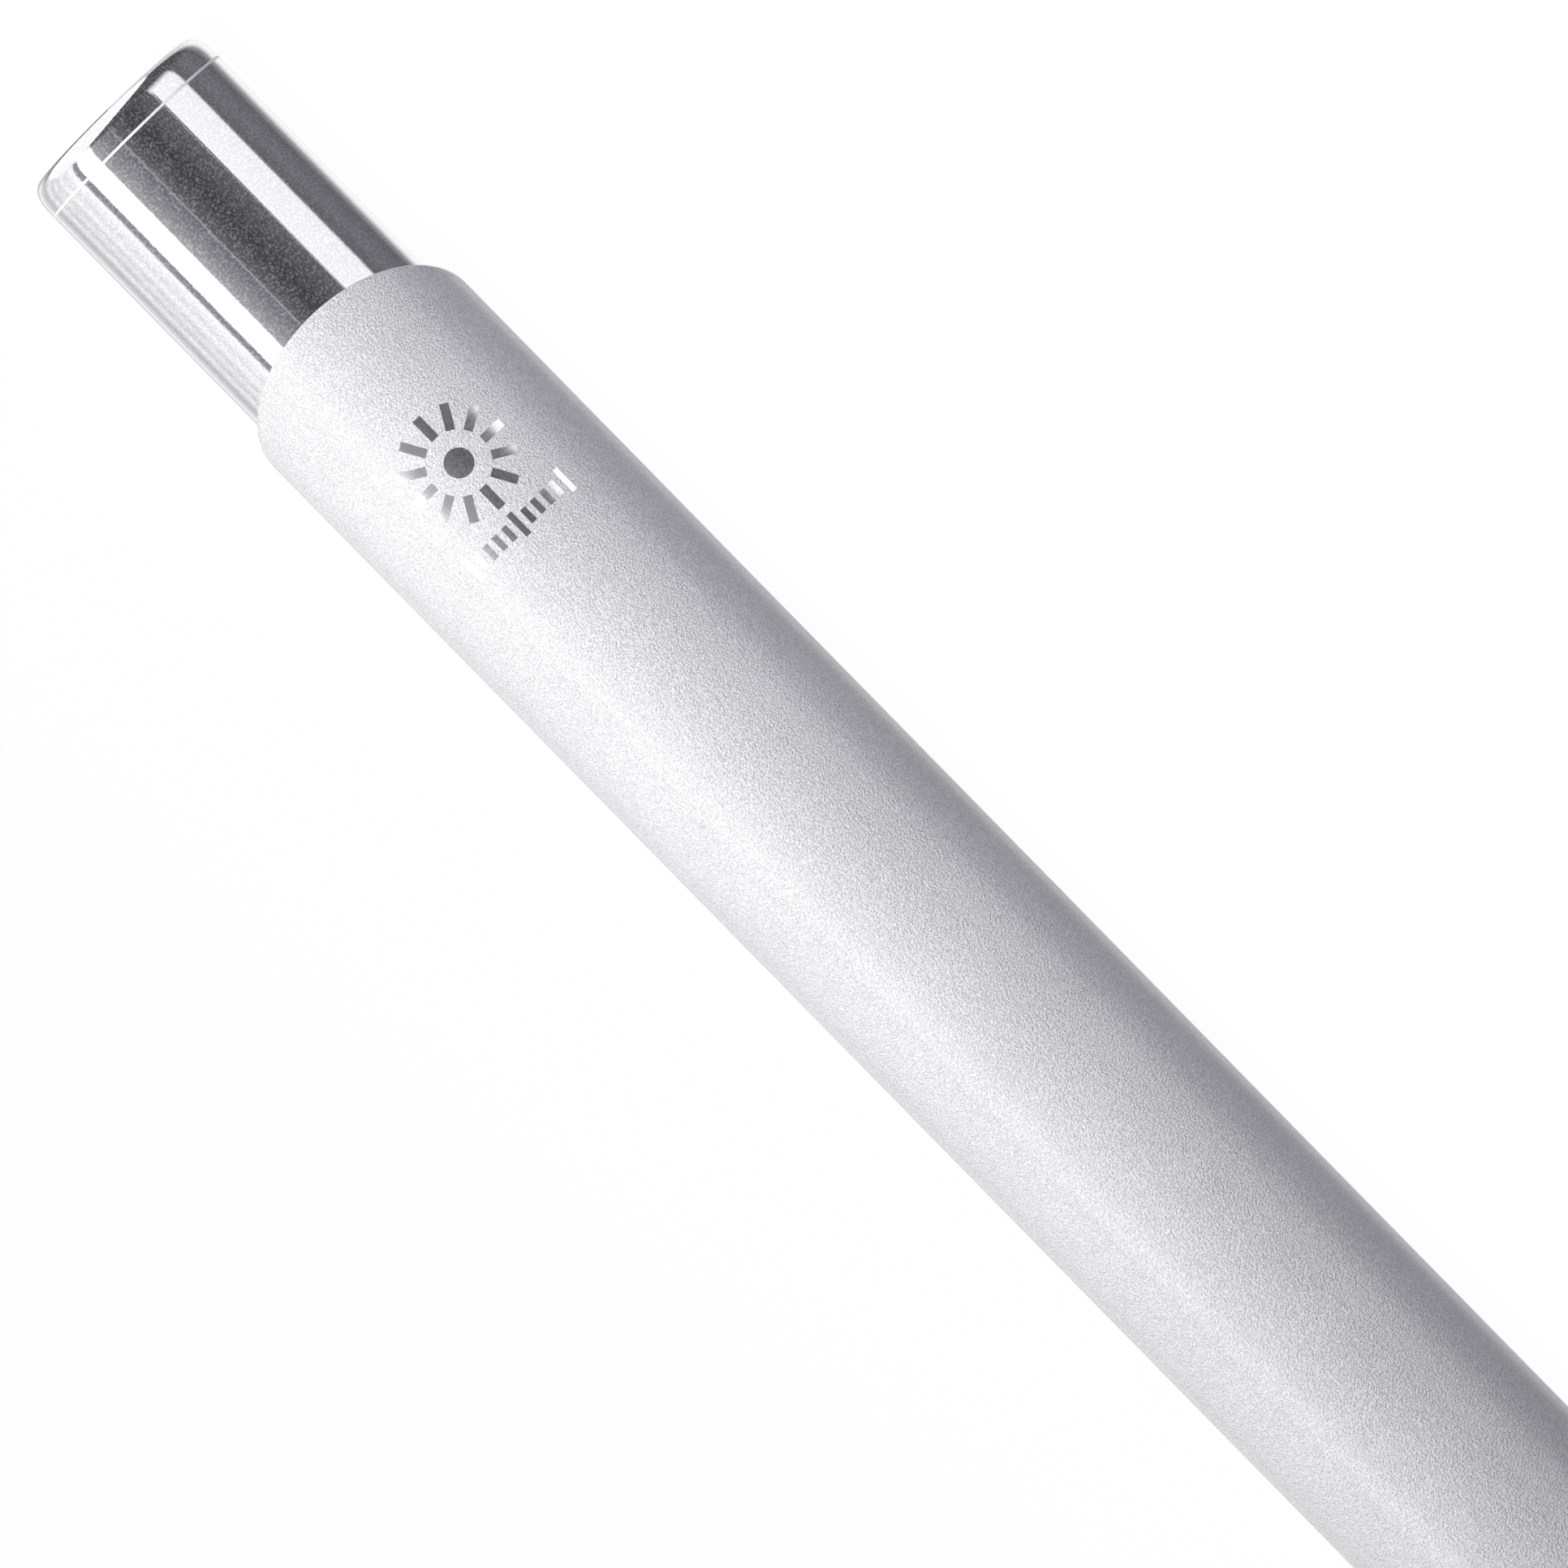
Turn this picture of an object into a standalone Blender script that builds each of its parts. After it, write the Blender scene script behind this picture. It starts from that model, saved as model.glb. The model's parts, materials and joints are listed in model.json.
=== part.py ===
"""Retractable ballpoint pen with a slant-cut barrel, a push button and a spring clip.

The pen is modelled upright about the Z axis, in metres: the writing end is at
z = 0, the push button is on top, the plain front faces -Y and the clip +Y.
An empty then lays it on a table, where the barrel and one edge of the clip
carry it.
"""

import math

import bmesh
import bpy
from mathutils import Matrix, Vector

# Barrel
BARREL_DIAMETER = 0.0100
BARREL_WALL = 0.00055
BARREL_LENGTH = 0.1130
MOUTH_SLANT = 30.0  # degrees from square, with the high side at the front

# Push button: a tube with a cap on top and a core that grips the plunger
BUTTON_EXPOSED = 0.0108
BUTTON_LENGTH = 0.0190
BUTTON_WALL = 0.00045
CAP_HEIGHT = 0.0012
CAP_EDGE = 0.0007
CAP_PLUG = 0.0030
SEAM_CHAMFER = 0.00007
CORE_LENGTH = 0.0080
CORE_ROOF = 0.0015
CORE_INSET = 0.0005
STROKE = 0.0065

# Indexing mechanism
GUIDE_WALL = 0.00055
LAND_HEIGHT = 0.00070
GUIDE_ROOF = 0.0012
GUIDE_SKIRT = 0.0030
RIB_COUNT = 3
FIRST_RIB = 30.0  # degrees from +X, which leaves a land at +Y behind the clip's root
RIB_WIDTH = 0.0012
STEM_DIAMETER = 0.0049
CROWN_HEIGHT = 0.0040
CROWN_BORE = 0.0032
CROWN_BORE_DEPTH = 0.0030
TEETH_PER_RIB = 2
TOOTH_HEIGHT = 0.0009
ROTOR_TURN = 22.5  # degrees over one full press
ROTOR_RIB = 0.0030
RIB_DROP = 0.0003
OVERTRAVEL = 0.0012
ROTOR_STEM = 0.0066
ROTOR_STEM_DIAMETER = 0.0042
FOOT_THICKNESS = 0.0010
SPIGOT_DIAMETER = 0.0018
SPIGOT_LENGTH = 0.0012

# Refill
REFILL_DIAMETER = 0.0059
REFILL_WALL = 0.00035
POINT_RECESS = 0.0008
POINT_LENGTH = 0.0095
POINT_DIAMETER = 0.0023
POINT_CONE = 0.0028
POINT_INSERT = 0.0050
INK_CHANNEL = 0.0008
BALL_DIAMETER = 0.0010
BALL_GRIP = 0.6  # share of the ball's radius that the rim covers past its middle
RIM_WALL = 0.00012
REFILL_NOSE_DIAMETER = 0.0035
REFILL_NOSE_LENGTH = 0.0135
REFILL_FLANGE = 0.0020
PLUG_FLANGE = 0.0025
PLUG_SPIGOT = 0.0030
FOLLOWER_LENGTH = 0.0040
INK_HEADSPACE = 0.0100

# Nose, its ring and the thread that holds it
NOSE_LENGTH = 0.0170
NOSE_BASE_DIAMETER = 0.0096
NOSE_TIP_DIAMETER = 0.0036
NOSE_BULGE = 0.0003
NOSE_TIP_EDGE = 0.0003
RING_HEIGHT = 0.0012
RING_DIAMETER = 0.0098
THREAD_LENGTH = 0.0055
BUSH_WALL = 0.00045
BUSH_INSET = 0.0003

# Return spring
SPRING_WIRE = 0.0004
SPRING_TURNS = 9
SPRING_SEAT = 0.0088

# Clip
CLIP_WIDTH = 0.0042
CLIP_THICKNESS = 0.0010
CLIP_GAP = 0.0012
CLIP_LENGTH = 0.0400
CLIP_DIP = 0.0055
CLIP_TAIL = 0.0025
CLIP_TAIL_LIFT = 0.0009
CLIP_BEND = 0.0009
CLIP_DIP_BEND = 0.0030
CLIP_EDGE = 0.00015
CLIP_ROOT_DROP = 0.0024
CLIP_TAB_FLOOR = 0.00035

# Clearances
SEAT_GAP = 0.00005  # between pieces that are pressed or laid together
BUTTON_CLEARANCE = 0.00012
RUN_CLEARANCE = 0.00010
TOOTH_GAP = 0.00010
STOP_GAP = 0.0006
END_GAP = 0.0005
BALL_GAP = 0.00004
SPRING_CLEARANCE = 0.00020
CLIP_CLEARANCE = 0.00015
CUT_OVER = 0.00010

# Fineness of the round shapes
BARREL_STEPS = 64
INNER_STEPS = 48
REFILL_STEPS = 24
COIL_STEPS = 10
GROOVE_STEPS = 6
EDGE_STEPS = 4

# Radii from the barrel inwards
barrel_radius = BARREL_DIAMETER / 2
bore_radius = barrel_radius - BARREL_WALL
button_radius = bore_radius - BUTTON_CLEARANCE
button_bore = button_radius - BUTTON_WALL
guide_radius = bore_radius - SEAT_GAP
groove_radius = guide_radius - GUIDE_WALL
land_radius = groove_radius - LAND_HEIGHT
crown_radius = land_radius - RUN_CLEARANCE
rib_radius = groove_radius - RUN_CLEARANCE
stem_radius = STEM_DIAMETER / 2
bush_radius = bore_radius - SEAT_GAP
thread_bore = bush_radius - BUSH_WALL
thread_radius = thread_bore - RUN_CLEARANCE
refill_radius = REFILL_DIAMETER / 2
refill_bore = refill_radius - REFILL_WALL
point_radius = POINT_DIAMETER / 2
ball_radius = BALL_DIAMETER / 2
refill_nose_radius = REFILL_NOSE_DIAMETER / 2
coil_radius = refill_nose_radius + SPRING_CLEARANCE + SPRING_WIRE / 2

# Stations of the barrel and the button, from the writing end up
barrel_bottom = NOSE_LENGTH + RING_HEIGHT
barrel_top = barrel_bottom + BARREL_LENGTH
pen_top = barrel_top + BUTTON_EXPOSED
cap_bottom = pen_top - CAP_HEIGHT
button_bottom = pen_top - BUTTON_LENGTH
core_bottom = button_bottom + CORE_INSET
core_top = core_bottom + CORE_LENGTH

# Stations of the mechanism, from the button down
tooth_pitch = 2 * math.pi / (RIB_COUNT * TEETH_PER_RIB)
rotor_turn = math.radians(ROTOR_TURN)
rotor_rise = TOOTH_HEIGHT * rotor_turn / (tooth_pitch / 2)
refill_travel = STROKE - rotor_rise
guide_top = button_bottom - STROKE - STOP_GAP
roof_bottom = guide_top - GUIDE_ROOF
crown_top = roof_bottom - SEAT_GAP
plunger_teeth = crown_top - CROWN_HEIGHT
crown_bore_top = plunger_teeth + CROWN_BORE_DEPTH
rotor_teeth = plunger_teeth - rotor_rise - TOOTH_GAP
rotor_rib_top = rotor_teeth - TOOTH_HEIGHT - RIB_DROP
rotor_rib_bottom = rotor_rib_top - ROTOR_RIB
rotor_bottom = rotor_rib_bottom - RIB_DROP
land_bottom = rotor_rib_top - refill_travel + OVERTRAVEL
guide_bottom = land_bottom - GUIDE_SKIRT
foot_bottom = rotor_bottom - ROTOR_STEM

# Stations of the refill, between the point and the rotor's foot
ball_centre = POINT_RECESS + ball_radius
refill_nose_bottom = POINT_RECESS + POINT_LENGTH
refill_shoulder = refill_nose_bottom + REFILL_NOSE_LENGTH
socket_top = refill_nose_bottom + POINT_INSERT
tube_bottom = refill_shoulder + REFILL_FLANGE + SEAT_GAP
ink_bottom = tube_bottom + PLUG_SPIGOT + SEAT_GAP
refill_top = foot_bottom - SEAT_GAP
tube_top = refill_top - PLUG_FLANGE - SEAT_GAP
follower_top = tube_top - PLUG_SPIGOT - INK_HEADSPACE
ink_top = follower_top - FOLLOWER_LENGTH - SEAT_GAP

# Clip, in the plane through the pen's axis
clip_root = guide_top - CLIP_ROOT_DROP
clip_inner_end = land_radius + CLIP_TAB_FLOOR
clip_arm = barrel_radius + CLIP_GAP + CLIP_THICKNESS / 2
clip_outside = clip_arm + CLIP_THICKNESS / 2
clip_bump = barrel_radius + CLIP_CLEARANCE + CLIP_THICKNESS / 2
clip_hinge = Vector((0, barrel_radius - BARREL_WALL / 2, clip_root))


def clear_scene():
    for old in list(bpy.data.objects):
        bpy.data.objects.remove(old, do_unlink=True)


def new_collection(name):
    collection = bpy.data.collections.new(name)
    bpy.context.scene.collection.children.link(collection)
    return collection


def make_material(name, colour, metallic, roughness):
    material = bpy.data.materials.new(name)
    material.use_nodes = True
    shader = material.node_tree.nodes["Principled BSDF"]
    shader.inputs["Base Color"].default_value = (*colour, 1.0)
    shader.inputs["Metallic"].default_value = metallic
    shader.inputs["Roughness"].default_value = roughness
    return material


clear_scene()
PARTS = new_collection("ballpoint_pen")
CUTTERS = new_collection("ballpoint_pen_cutters")
REST = bpy.data.objects.new("pen_at_rest", None)
PARTS.objects.link(REST)

ALUMINIUM = make_material("satin_aluminium", (0.80, 0.80, 0.83), 1.0, 0.50)
CHROME = make_material("chrome", (0.72, 0.73, 0.74), 1.0, 0.08)
BRASS = make_material("brass", (0.72, 0.52, 0.24), 1.0, 0.35)
STEEL = make_material("spring_steel", (0.58, 0.58, 0.57), 1.0, 0.30)
CARBIDE = make_material("carbide", (0.42, 0.42, 0.44), 1.0, 0.25)
DARK_PLASTIC = make_material("dark_plastic", (0.06, 0.06, 0.07), 0.0, 0.45)
PALE_PLASTIC = make_material("pale_plastic", (0.78, 0.78, 0.75), 0.0, 0.45)
CLEAR_PLASTIC = make_material("clear_plastic", (0.82, 0.84, 0.84), 0.0, 0.20)
INK = make_material("ink", (0.010, 0.012, 0.030), 0.0, 0.30)
GREASE = make_material("follower_grease", (0.70, 0.62, 0.42), 0.0, 0.30)


def add_part(name, data, material):
    """Put a mesh or curve among the parts, in the pen's own upright frame."""
    part = bpy.data.objects.new(name, data)
    data.materials.append(material)
    PARTS.objects.link(part)
    part.parent = REST
    return part


def add_cutter(name, mesh):
    cutter = bpy.data.objects.new(name, mesh)
    CUTTERS.objects.link(cutter)
    cutter.parent = REST
    cutter.hide_render = True
    cutter.display_type = "WIRE"
    return cutter


def mesh_from(bm, name):
    mesh = bpy.data.meshes.new(name)
    bm.to_mesh(mesh)
    bm.free()
    return mesh


def turned(name, profile, material, steps):
    """A turned piece from (radius, height) points that run down its outside.

    A profile that starts and ends on the axis is solid, and any other is a
    ring.  The piece's origin is on the axis, at its lowest point.
    """
    base = min(height for radius, height in profile)
    points = [(radius, 0, height - base) for radius, height in profile]
    edges = [(i, i + 1) for i in range(len(points) - 1)]
    if profile[0][0] > 0:
        edges.append((len(points) - 1, 0))
    mesh = bpy.data.meshes.new(name)
    mesh.from_pydata(points, edges, [])
    part = add_part(name, mesh, material)
    part.location.z = base
    screw = part.modifiers.new("Turned", "SCREW")
    screw.steps = steps
    screw.render_steps = steps
    screw.use_merge_vertices = True
    screw.merge_threshold = 1e-6
    return part


def make_real(part):
    """Turn a part's modifiers into plain mesh, so that single points can move."""
    depsgraph = bpy.context.evaluated_depsgraph_get()
    mesh = bpy.data.meshes.new_from_object(part.evaluated_get(depsgraph))
    part.modifiers.clear()
    part.data = mesh


def combine(part, operand, operation):
    boolean = part.modifiers.new(operation.title(), "BOOLEAN")
    boolean.operation = operation
    boolean.solver = "EXACT"
    boolean.object = operand


def box_cutter(name, low, high):
    low = Vector(low)
    high = Vector(high)
    bm = bmesh.new()
    bmesh.ops.create_cube(bm, size=1.0, matrix=Matrix.Diagonal((*(high - low), 1)))
    cutter = add_cutter(name, mesh_from(bm, name))
    cutter.location = (low + high) / 2
    return cutter


def corner_arc(centre, radius, start, end, steps):
    """Points round a corner of a profile, both ends included, angles in degrees."""
    points = []
    for i in range(steps + 1):
        angle = math.radians(start + (end - start) * i / steps)
        points.append((centre[0] + radius * math.cos(angle), centre[1] + radius * math.sin(angle)))
    return points


def rib_angles():
    return [math.radians(FIRST_RIB) + i * 2 * math.pi / RIB_COUNT for i in range(RIB_COUNT)]


def make_ribs(name, low, high, offset):
    """Straight ribs from inside a crown out to the guide's grooves."""
    inner = crown_radius - LAND_HEIGHT
    size = Matrix.Diagonal((rib_radius - inner, RIB_WIDTH, high - low, 1))
    place = Matrix.Translation(((rib_radius + inner) / 2, 0, (high + low) / 2))
    bm = bmesh.new()
    for angle in rib_angles():
        turn = Matrix.Rotation(angle + offset, 4, "Z")
        bmesh.ops.create_cube(bm, size=1.0, matrix=turn @ place @ size)
    return add_cutter(name, mesh_from(bm, name))


def cut_teeth(part, height):
    """Lower the points of one turned face into a triangular wave of teeth."""
    for vertex in part.data.vertices:
        if abs(vertex.co.z + part.location.z - height) < 1e-7:
            angle = math.atan2(vertex.co.y, vertex.co.x)
            share = (angle / tooth_pitch) % 1.0
            vertex.co.z -= TOOTH_HEIGHT * (1 - abs(2 * share - 1))


def make_barrel():
    barrel = turned("barrel", [
        (barrel_radius, barrel_top),
        (barrel_radius, barrel_bottom),
        (bore_radius, barrel_bottom),
        (bore_radius, barrel_top),
    ], ALUMINIUM, BARREL_STEPS)
    slant = math.radians(MOUTH_SLANT)
    width = 4 * BARREL_DIAMETER
    bm = bmesh.new()
    bmesh.ops.create_cube(bm, size=width, matrix=Matrix.Translation((0, 0, width / 2)))
    mouth = add_cutter("barrel_mouth_cut", mesh_from(bm, "barrel_mouth_cut"))
    mouth.location = (0, 0, barrel_top - barrel_radius * math.tan(slant))
    mouth.rotation_euler.x = -slant
    combine(barrel, mouth, "DIFFERENCE")
    half_width = CLIP_WIDTH / 2 + CLIP_CLEARANCE
    half_height = CLIP_THICKNESS / 2 + CLIP_CLEARANCE
    slot = box_cutter(
        "clip_slot_cut",
        (-half_width, bore_radius - 4 * BARREL_WALL, clip_root - half_height),
        (half_width, barrel_radius + BARREL_WALL, clip_root + half_height),
    )
    combine(barrel, slot, "DIFFERENCE")


def make_button():
    tube_top_edge = cap_bottom - SEAT_GAP
    turned("push_button", [
        (button_radius - SEAM_CHAMFER, tube_top_edge),
        (button_radius, tube_top_edge - SEAM_CHAMFER),
        (button_radius, button_bottom),
        (button_bore, button_bottom),
        (button_bore, tube_top_edge),
    ], CHROME, BARREL_STEPS)
    plug_radius = button_bore - SEAT_GAP
    edge = corner_arc((button_radius - CAP_EDGE, pen_top - CAP_EDGE), CAP_EDGE, 90, 0, EDGE_STEPS)
    turned("button_cap", [(0, pen_top)] + edge + [
        (button_radius, cap_bottom + SEAM_CHAMFER),
        (button_radius - SEAM_CHAMFER, cap_bottom),
        (plug_radius, cap_bottom),
        (plug_radius, cap_bottom - CAP_PLUG),
        (0, cap_bottom - CAP_PLUG),
    ], CHROME, BARREL_STEPS)
    grip_radius = stem_radius + SEAT_GAP
    turned("button_core", [
        (0, core_top),
        (plug_radius, core_top),
        (plug_radius, core_bottom),
        (grip_radius, core_bottom),
        (grip_radius, core_top - CORE_ROOF),
        (0, core_top - CORE_ROOF),
    ], PALE_PLASTIC, INNER_STEPS)


def make_groove_cutter():
    """Three bent blocks, each with one slanted side that follows a rotor rib as it turns."""
    side = math.asin((RIB_WIDTH / 2 + RUN_CLEARANCE) / land_radius)
    slope = rotor_turn / refill_travel
    slant_top = rotor_rib_top + CUT_OVER
    low = land_bottom - CUT_OVER
    rows = [
        (low, side + slope * (slant_top - low)),
        (slant_top, side),
        (roof_bottom + CUT_OVER, side),
    ]
    bm = bmesh.new()
    for centre in rib_angles():
        grid = bmesh.ops.create_grid(bm, x_segments=GROOVE_STEPS, y_segments=2, size=1.0)
        inside = grid["verts"]
        faces = {face for vertex in inside for face in vertex.link_faces}
        extruded = bmesh.ops.extrude_face_region(bm, geom=list(faces), use_keep_orig=True)
        outside = [item for item in extruded["geom"] if isinstance(item, bmesh.types.BMVert)]
        for vertices, radius in ((inside, stem_radius), (outside, groove_radius)):
            for vertex in vertices:
                height, right = rows[round(vertex.co.y) + 1]
                angle = centre - side + (right + side) * (vertex.co.x + 1) / 2
                vertex.co = (radius * math.cos(angle), radius * math.sin(angle), height)
    bmesh.ops.recalc_face_normals(bm, faces=bm.faces)
    return add_cutter("guide_groove_cut", mesh_from(bm, "guide_groove_cut"))


def make_guide():
    skirt_radius = groove_radius + RUN_CLEARANCE
    hole_radius = stem_radius + RUN_CLEARANCE
    guide = turned("guide_sleeve", [
        (guide_radius, guide_top),
        (guide_radius, guide_bottom),
        (skirt_radius, guide_bottom),
        (skirt_radius, land_bottom),
        (land_radius, land_bottom),
        (land_radius, roof_bottom),
        (hole_radius, roof_bottom),
        (hole_radius, guide_top),
    ], DARK_PLASTIC, INNER_STEPS)
    combine(guide, make_groove_cutter(), "DIFFERENCE")
    half_width = CLIP_WIDTH / 2 + CLIP_CLEARANCE
    half_height = CLIP_THICKNESS / 2 + CLIP_CLEARANCE
    pocket = box_cutter(
        "clip_pocket_cut",
        (-half_width, clip_inner_end - CLIP_CLEARANCE, clip_root - half_height),
        (half_width, barrel_radius, clip_root + half_height),
    )
    combine(guide, pocket, "DIFFERENCE")


def make_plunger():
    bore = CROWN_BORE / 2
    stem_top = core_top - CORE_ROOF - SEAT_GAP
    plunger = turned("plunger", [
        (0, stem_top),
        (stem_radius, stem_top),
        (stem_radius, crown_top),
        (crown_radius, crown_top),
        (crown_radius, plunger_teeth),
        (bore, plunger_teeth),
        (bore, crown_bore_top),
        (0, crown_bore_top),
    ], PALE_PLASTIC, INNER_STEPS)
    make_real(plunger)
    cut_teeth(plunger, plunger_teeth)
    ribs = make_ribs("plunger_ribs", plunger_teeth + RIB_DROP, crown_top - SEAT_GAP, 0)
    combine(plunger, ribs, "UNION")


def make_rotor():
    """The rotor starts turned back from the plunger's teeth by its travel in one press."""
    pin_radius = CROWN_BORE / 2 - RUN_CLEARANCE
    pin_top = crown_bore_top - rotor_rise - 2 * TOOTH_GAP
    foot_top = foot_bottom + FOOT_THICKNESS
    foot_radius = refill_radius - RUN_CLEARANCE
    spigot_radius = SPIGOT_DIAMETER / 2
    rotor = turned("cam_rotor", [
        (0, pin_top),
        (pin_radius, pin_top),
        (pin_radius, rotor_teeth),
        (crown_radius, rotor_teeth),
        (crown_radius, rotor_bottom),
        (ROTOR_STEM_DIAMETER / 2, rotor_bottom),
        (ROTOR_STEM_DIAMETER / 2, foot_top),
        (foot_radius, foot_top),
        (foot_radius, foot_bottom),
        (spigot_radius, foot_bottom),
        (spigot_radius, foot_bottom - SPIGOT_LENGTH),
        (0, foot_bottom - SPIGOT_LENGTH),
    ], DARK_PLASTIC, INNER_STEPS)
    make_real(rotor)
    cut_teeth(rotor, rotor_teeth)
    rotor.rotation_euler.z = -rotor_turn
    ribs = make_ribs("rotor_ribs", rotor_rib_bottom, rotor_rib_top, 0)
    combine(rotor, ribs, "UNION")


def make_refill():
    inner = refill_bore - SEAT_GAP
    grip_radius = point_radius + SEAT_GAP
    feed_radius = INK_CHANNEL / 2 + SEAT_GAP
    socket_seat = socket_top + SEAT_GAP
    spigot_top = tube_bottom + PLUG_SPIGOT
    turned("refill_nose", [
        (inner, spigot_top),
        (inner, tube_bottom - SEAT_GAP),
        (refill_radius, tube_bottom - SEAT_GAP),
        (refill_radius, refill_shoulder),
        (refill_nose_radius, refill_shoulder),
        (refill_nose_radius, refill_nose_bottom),
        (grip_radius, refill_nose_bottom),
        (grip_radius, socket_seat),
        (feed_radius, socket_seat),
        (feed_radius, spigot_top),
    ], PALE_PLASTIC, REFILL_STEPS)
    turned("refill_tube", [
        (refill_radius, tube_top),
        (refill_radius, tube_bottom),
        (refill_bore, tube_bottom),
        (refill_bore, tube_top),
    ], CLEAR_PLASTIC, REFILL_STEPS)
    turned("ink", [
        (0, ink_top),
        (inner, ink_top),
        (inner, ink_bottom),
        (0, ink_bottom),
    ], INK, REFILL_STEPS)
    turned("ink_follower", [
        (0, follower_top),
        (inner, follower_top),
        (inner, follower_top - FOLLOWER_LENGTH),
        (0, follower_top - FOLLOWER_LENGTH),
    ], GREASE, REFILL_STEPS)
    hole_radius = SPIGOT_DIAMETER / 2 + RUN_CLEARANCE
    hole_bottom = refill_top - SPIGOT_LENGTH - END_GAP
    turned("refill_plug", [
        (refill_radius, refill_top),
        (refill_radius, refill_top - PLUG_FLANGE),
        (inner, refill_top - PLUG_FLANGE),
        (inner, tube_top - PLUG_SPIGOT),
        (0, tube_top - PLUG_SPIGOT),
        (0, hole_bottom),
        (hole_radius, hole_bottom),
        (hole_radius, refill_top),
    ], PALE_PLASTIC, REFILL_STEPS)


def make_point():
    """The ball, and a socket whose rim closes past the ball's middle."""
    cup = ball_radius + BALL_GAP
    channel = INK_CHANNEL / 2
    rim_angle = -math.degrees(math.asin(BALL_GRIP * ball_radius / cup))
    channel_angle = math.degrees(math.acos(channel / cup))
    cup_arc = corner_arc((0, ball_centre), cup, rim_angle, channel_angle, 2 * EDGE_STEPS)
    rim_radius, rim_height = cup_arc[0]
    turned("point_socket", [
        (point_radius, socket_top),
        (point_radius, POINT_RECESS + POINT_CONE),
        (rim_radius + RIM_WALL, rim_height),
    ] + cup_arc + [(channel, socket_top)], STEEL, REFILL_STEPS)
    bm = bmesh.new()
    bmesh.ops.create_uvsphere(bm, u_segments=16, v_segments=10, radius=ball_radius)
    ball = add_part("writing_ball", mesh_from(bm, "writing_ball"), CARBIDE)
    ball.location.z = ball_centre


def make_nose():
    turned("thread_bush", [
        (bush_radius, barrel_bottom + BUSH_INSET + THREAD_LENGTH),
        (bush_radius, barrel_bottom + BUSH_INSET),
        (thread_bore, barrel_bottom + BUSH_INSET),
        (thread_bore, barrel_bottom + BUSH_INSET + THREAD_LENGTH),
    ], BRASS, INNER_STEPS)
    turned("nose_ring", [
        (RING_DIAMETER / 2, barrel_bottom - SEAT_GAP),
        (RING_DIAMETER / 2, NOSE_LENGTH + SEAT_GAP),
        (thread_bore, NOSE_LENGTH + SEAT_GAP),
        (thread_bore, barrel_bottom - SEAT_GAP),
    ], CHROME, BARREL_STEPS)
    base_radius = NOSE_BASE_DIAMETER / 2
    tip_radius = NOSE_TIP_DIAMETER / 2
    cone = []
    for i in range(2 * EDGE_STEPS + 1):
        share = i / (2 * EDGE_STEPS)
        radius = base_radius + (tip_radius - base_radius) * share
        radius += NOSE_BULGE * math.sin(math.pi * share)
        cone.append((radius, NOSE_LENGTH + (NOSE_TIP_EDGE - NOSE_LENGTH) * share))
    hole_radius = point_radius + RUN_CLEARANCE
    hole_top = refill_nose_bottom - refill_travel - END_GAP
    small_bore = refill_nose_radius + RUN_CLEARANCE
    spring_bore = coil_radius + SPRING_WIRE / 2 + SPRING_CLEARANCE
    large_bore = refill_radius + RUN_CLEARANCE
    large_bore_bottom = refill_shoulder - refill_travel - END_GAP
    thread_top = barrel_bottom + THREAD_LENGTH
    turned("nose_cone", [
        (thread_radius, thread_top),
        (thread_radius, NOSE_LENGTH),
    ] + cone + [
        (tip_radius - NOSE_TIP_EDGE, 0),
        (hole_radius, 0),
        (hole_radius, hole_top),
        (small_bore, hole_top),
        (small_bore, SPRING_SEAT),
        (spring_bore, SPRING_SEAT),
        (spring_bore, large_bore_bottom),
        (large_bore, large_bore_bottom),
        (large_bore, thread_top),
    ], CHROME, BARREL_STEPS)


def make_spring():
    low = SPRING_SEAT + SPRING_WIRE / 2 + SEAT_GAP
    high = refill_shoulder - SPRING_WIRE / 2 - SEAT_GAP
    count = SPRING_TURNS * COIL_STEPS
    points = []
    for i in range(count + 1):
        angle = 2 * math.pi * i / COIL_STEPS
        height = (high - low) * i / count
        points.append(Vector((coil_radius * math.cos(angle), coil_radius * math.sin(angle), height)))
    curve = bpy.data.curves.new("return_spring", "CURVE")
    curve.dimensions = "3D"
    curve.bevel_depth = SPRING_WIRE / 2
    curve.bevel_resolution = 1
    curve.use_fill_caps = True
    spline = curve.splines.new("POLY")
    spline.points.add(count)
    for target, point in zip(spline.points, points):
        target.co = (*point, 1.0)
    spring = add_part("return_spring", curve, STEEL)
    spring.location.z = low
    gap = min((points[i + COIL_STEPS] - points[i]).length for i in range(count + 1 - COIL_STEPS))
    print(f"Least gap between the spring's coils: {1000 * (gap - SPRING_WIRE):.2f} mm")


def rounded_path(corners, radii, steps):
    """A polyline in the (y, z) plane with its inner corners rounded."""
    path = [corners[0]]
    for i, radius in enumerate(radii):
        corner = corners[i + 1]
        back = (corners[i] - corner).normalized()
        ahead = (corners[i + 2] - corner).normalized()
        half = back.angle(ahead) / 2
        start = corner + back * (radius / math.tan(half))
        centre = corner + (back + ahead).normalized() * (radius / math.sin(half))
        arm = start - centre
        sweep = math.pi - 2 * half
        if back.cross(ahead) > 0:
            sweep = -sweep
        for j in range(steps + 1):
            turn = Matrix.Rotation(sweep * j / steps, 2)
            path.append(centre + turn @ arm)
    path.append(corners[-1])
    return path


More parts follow.
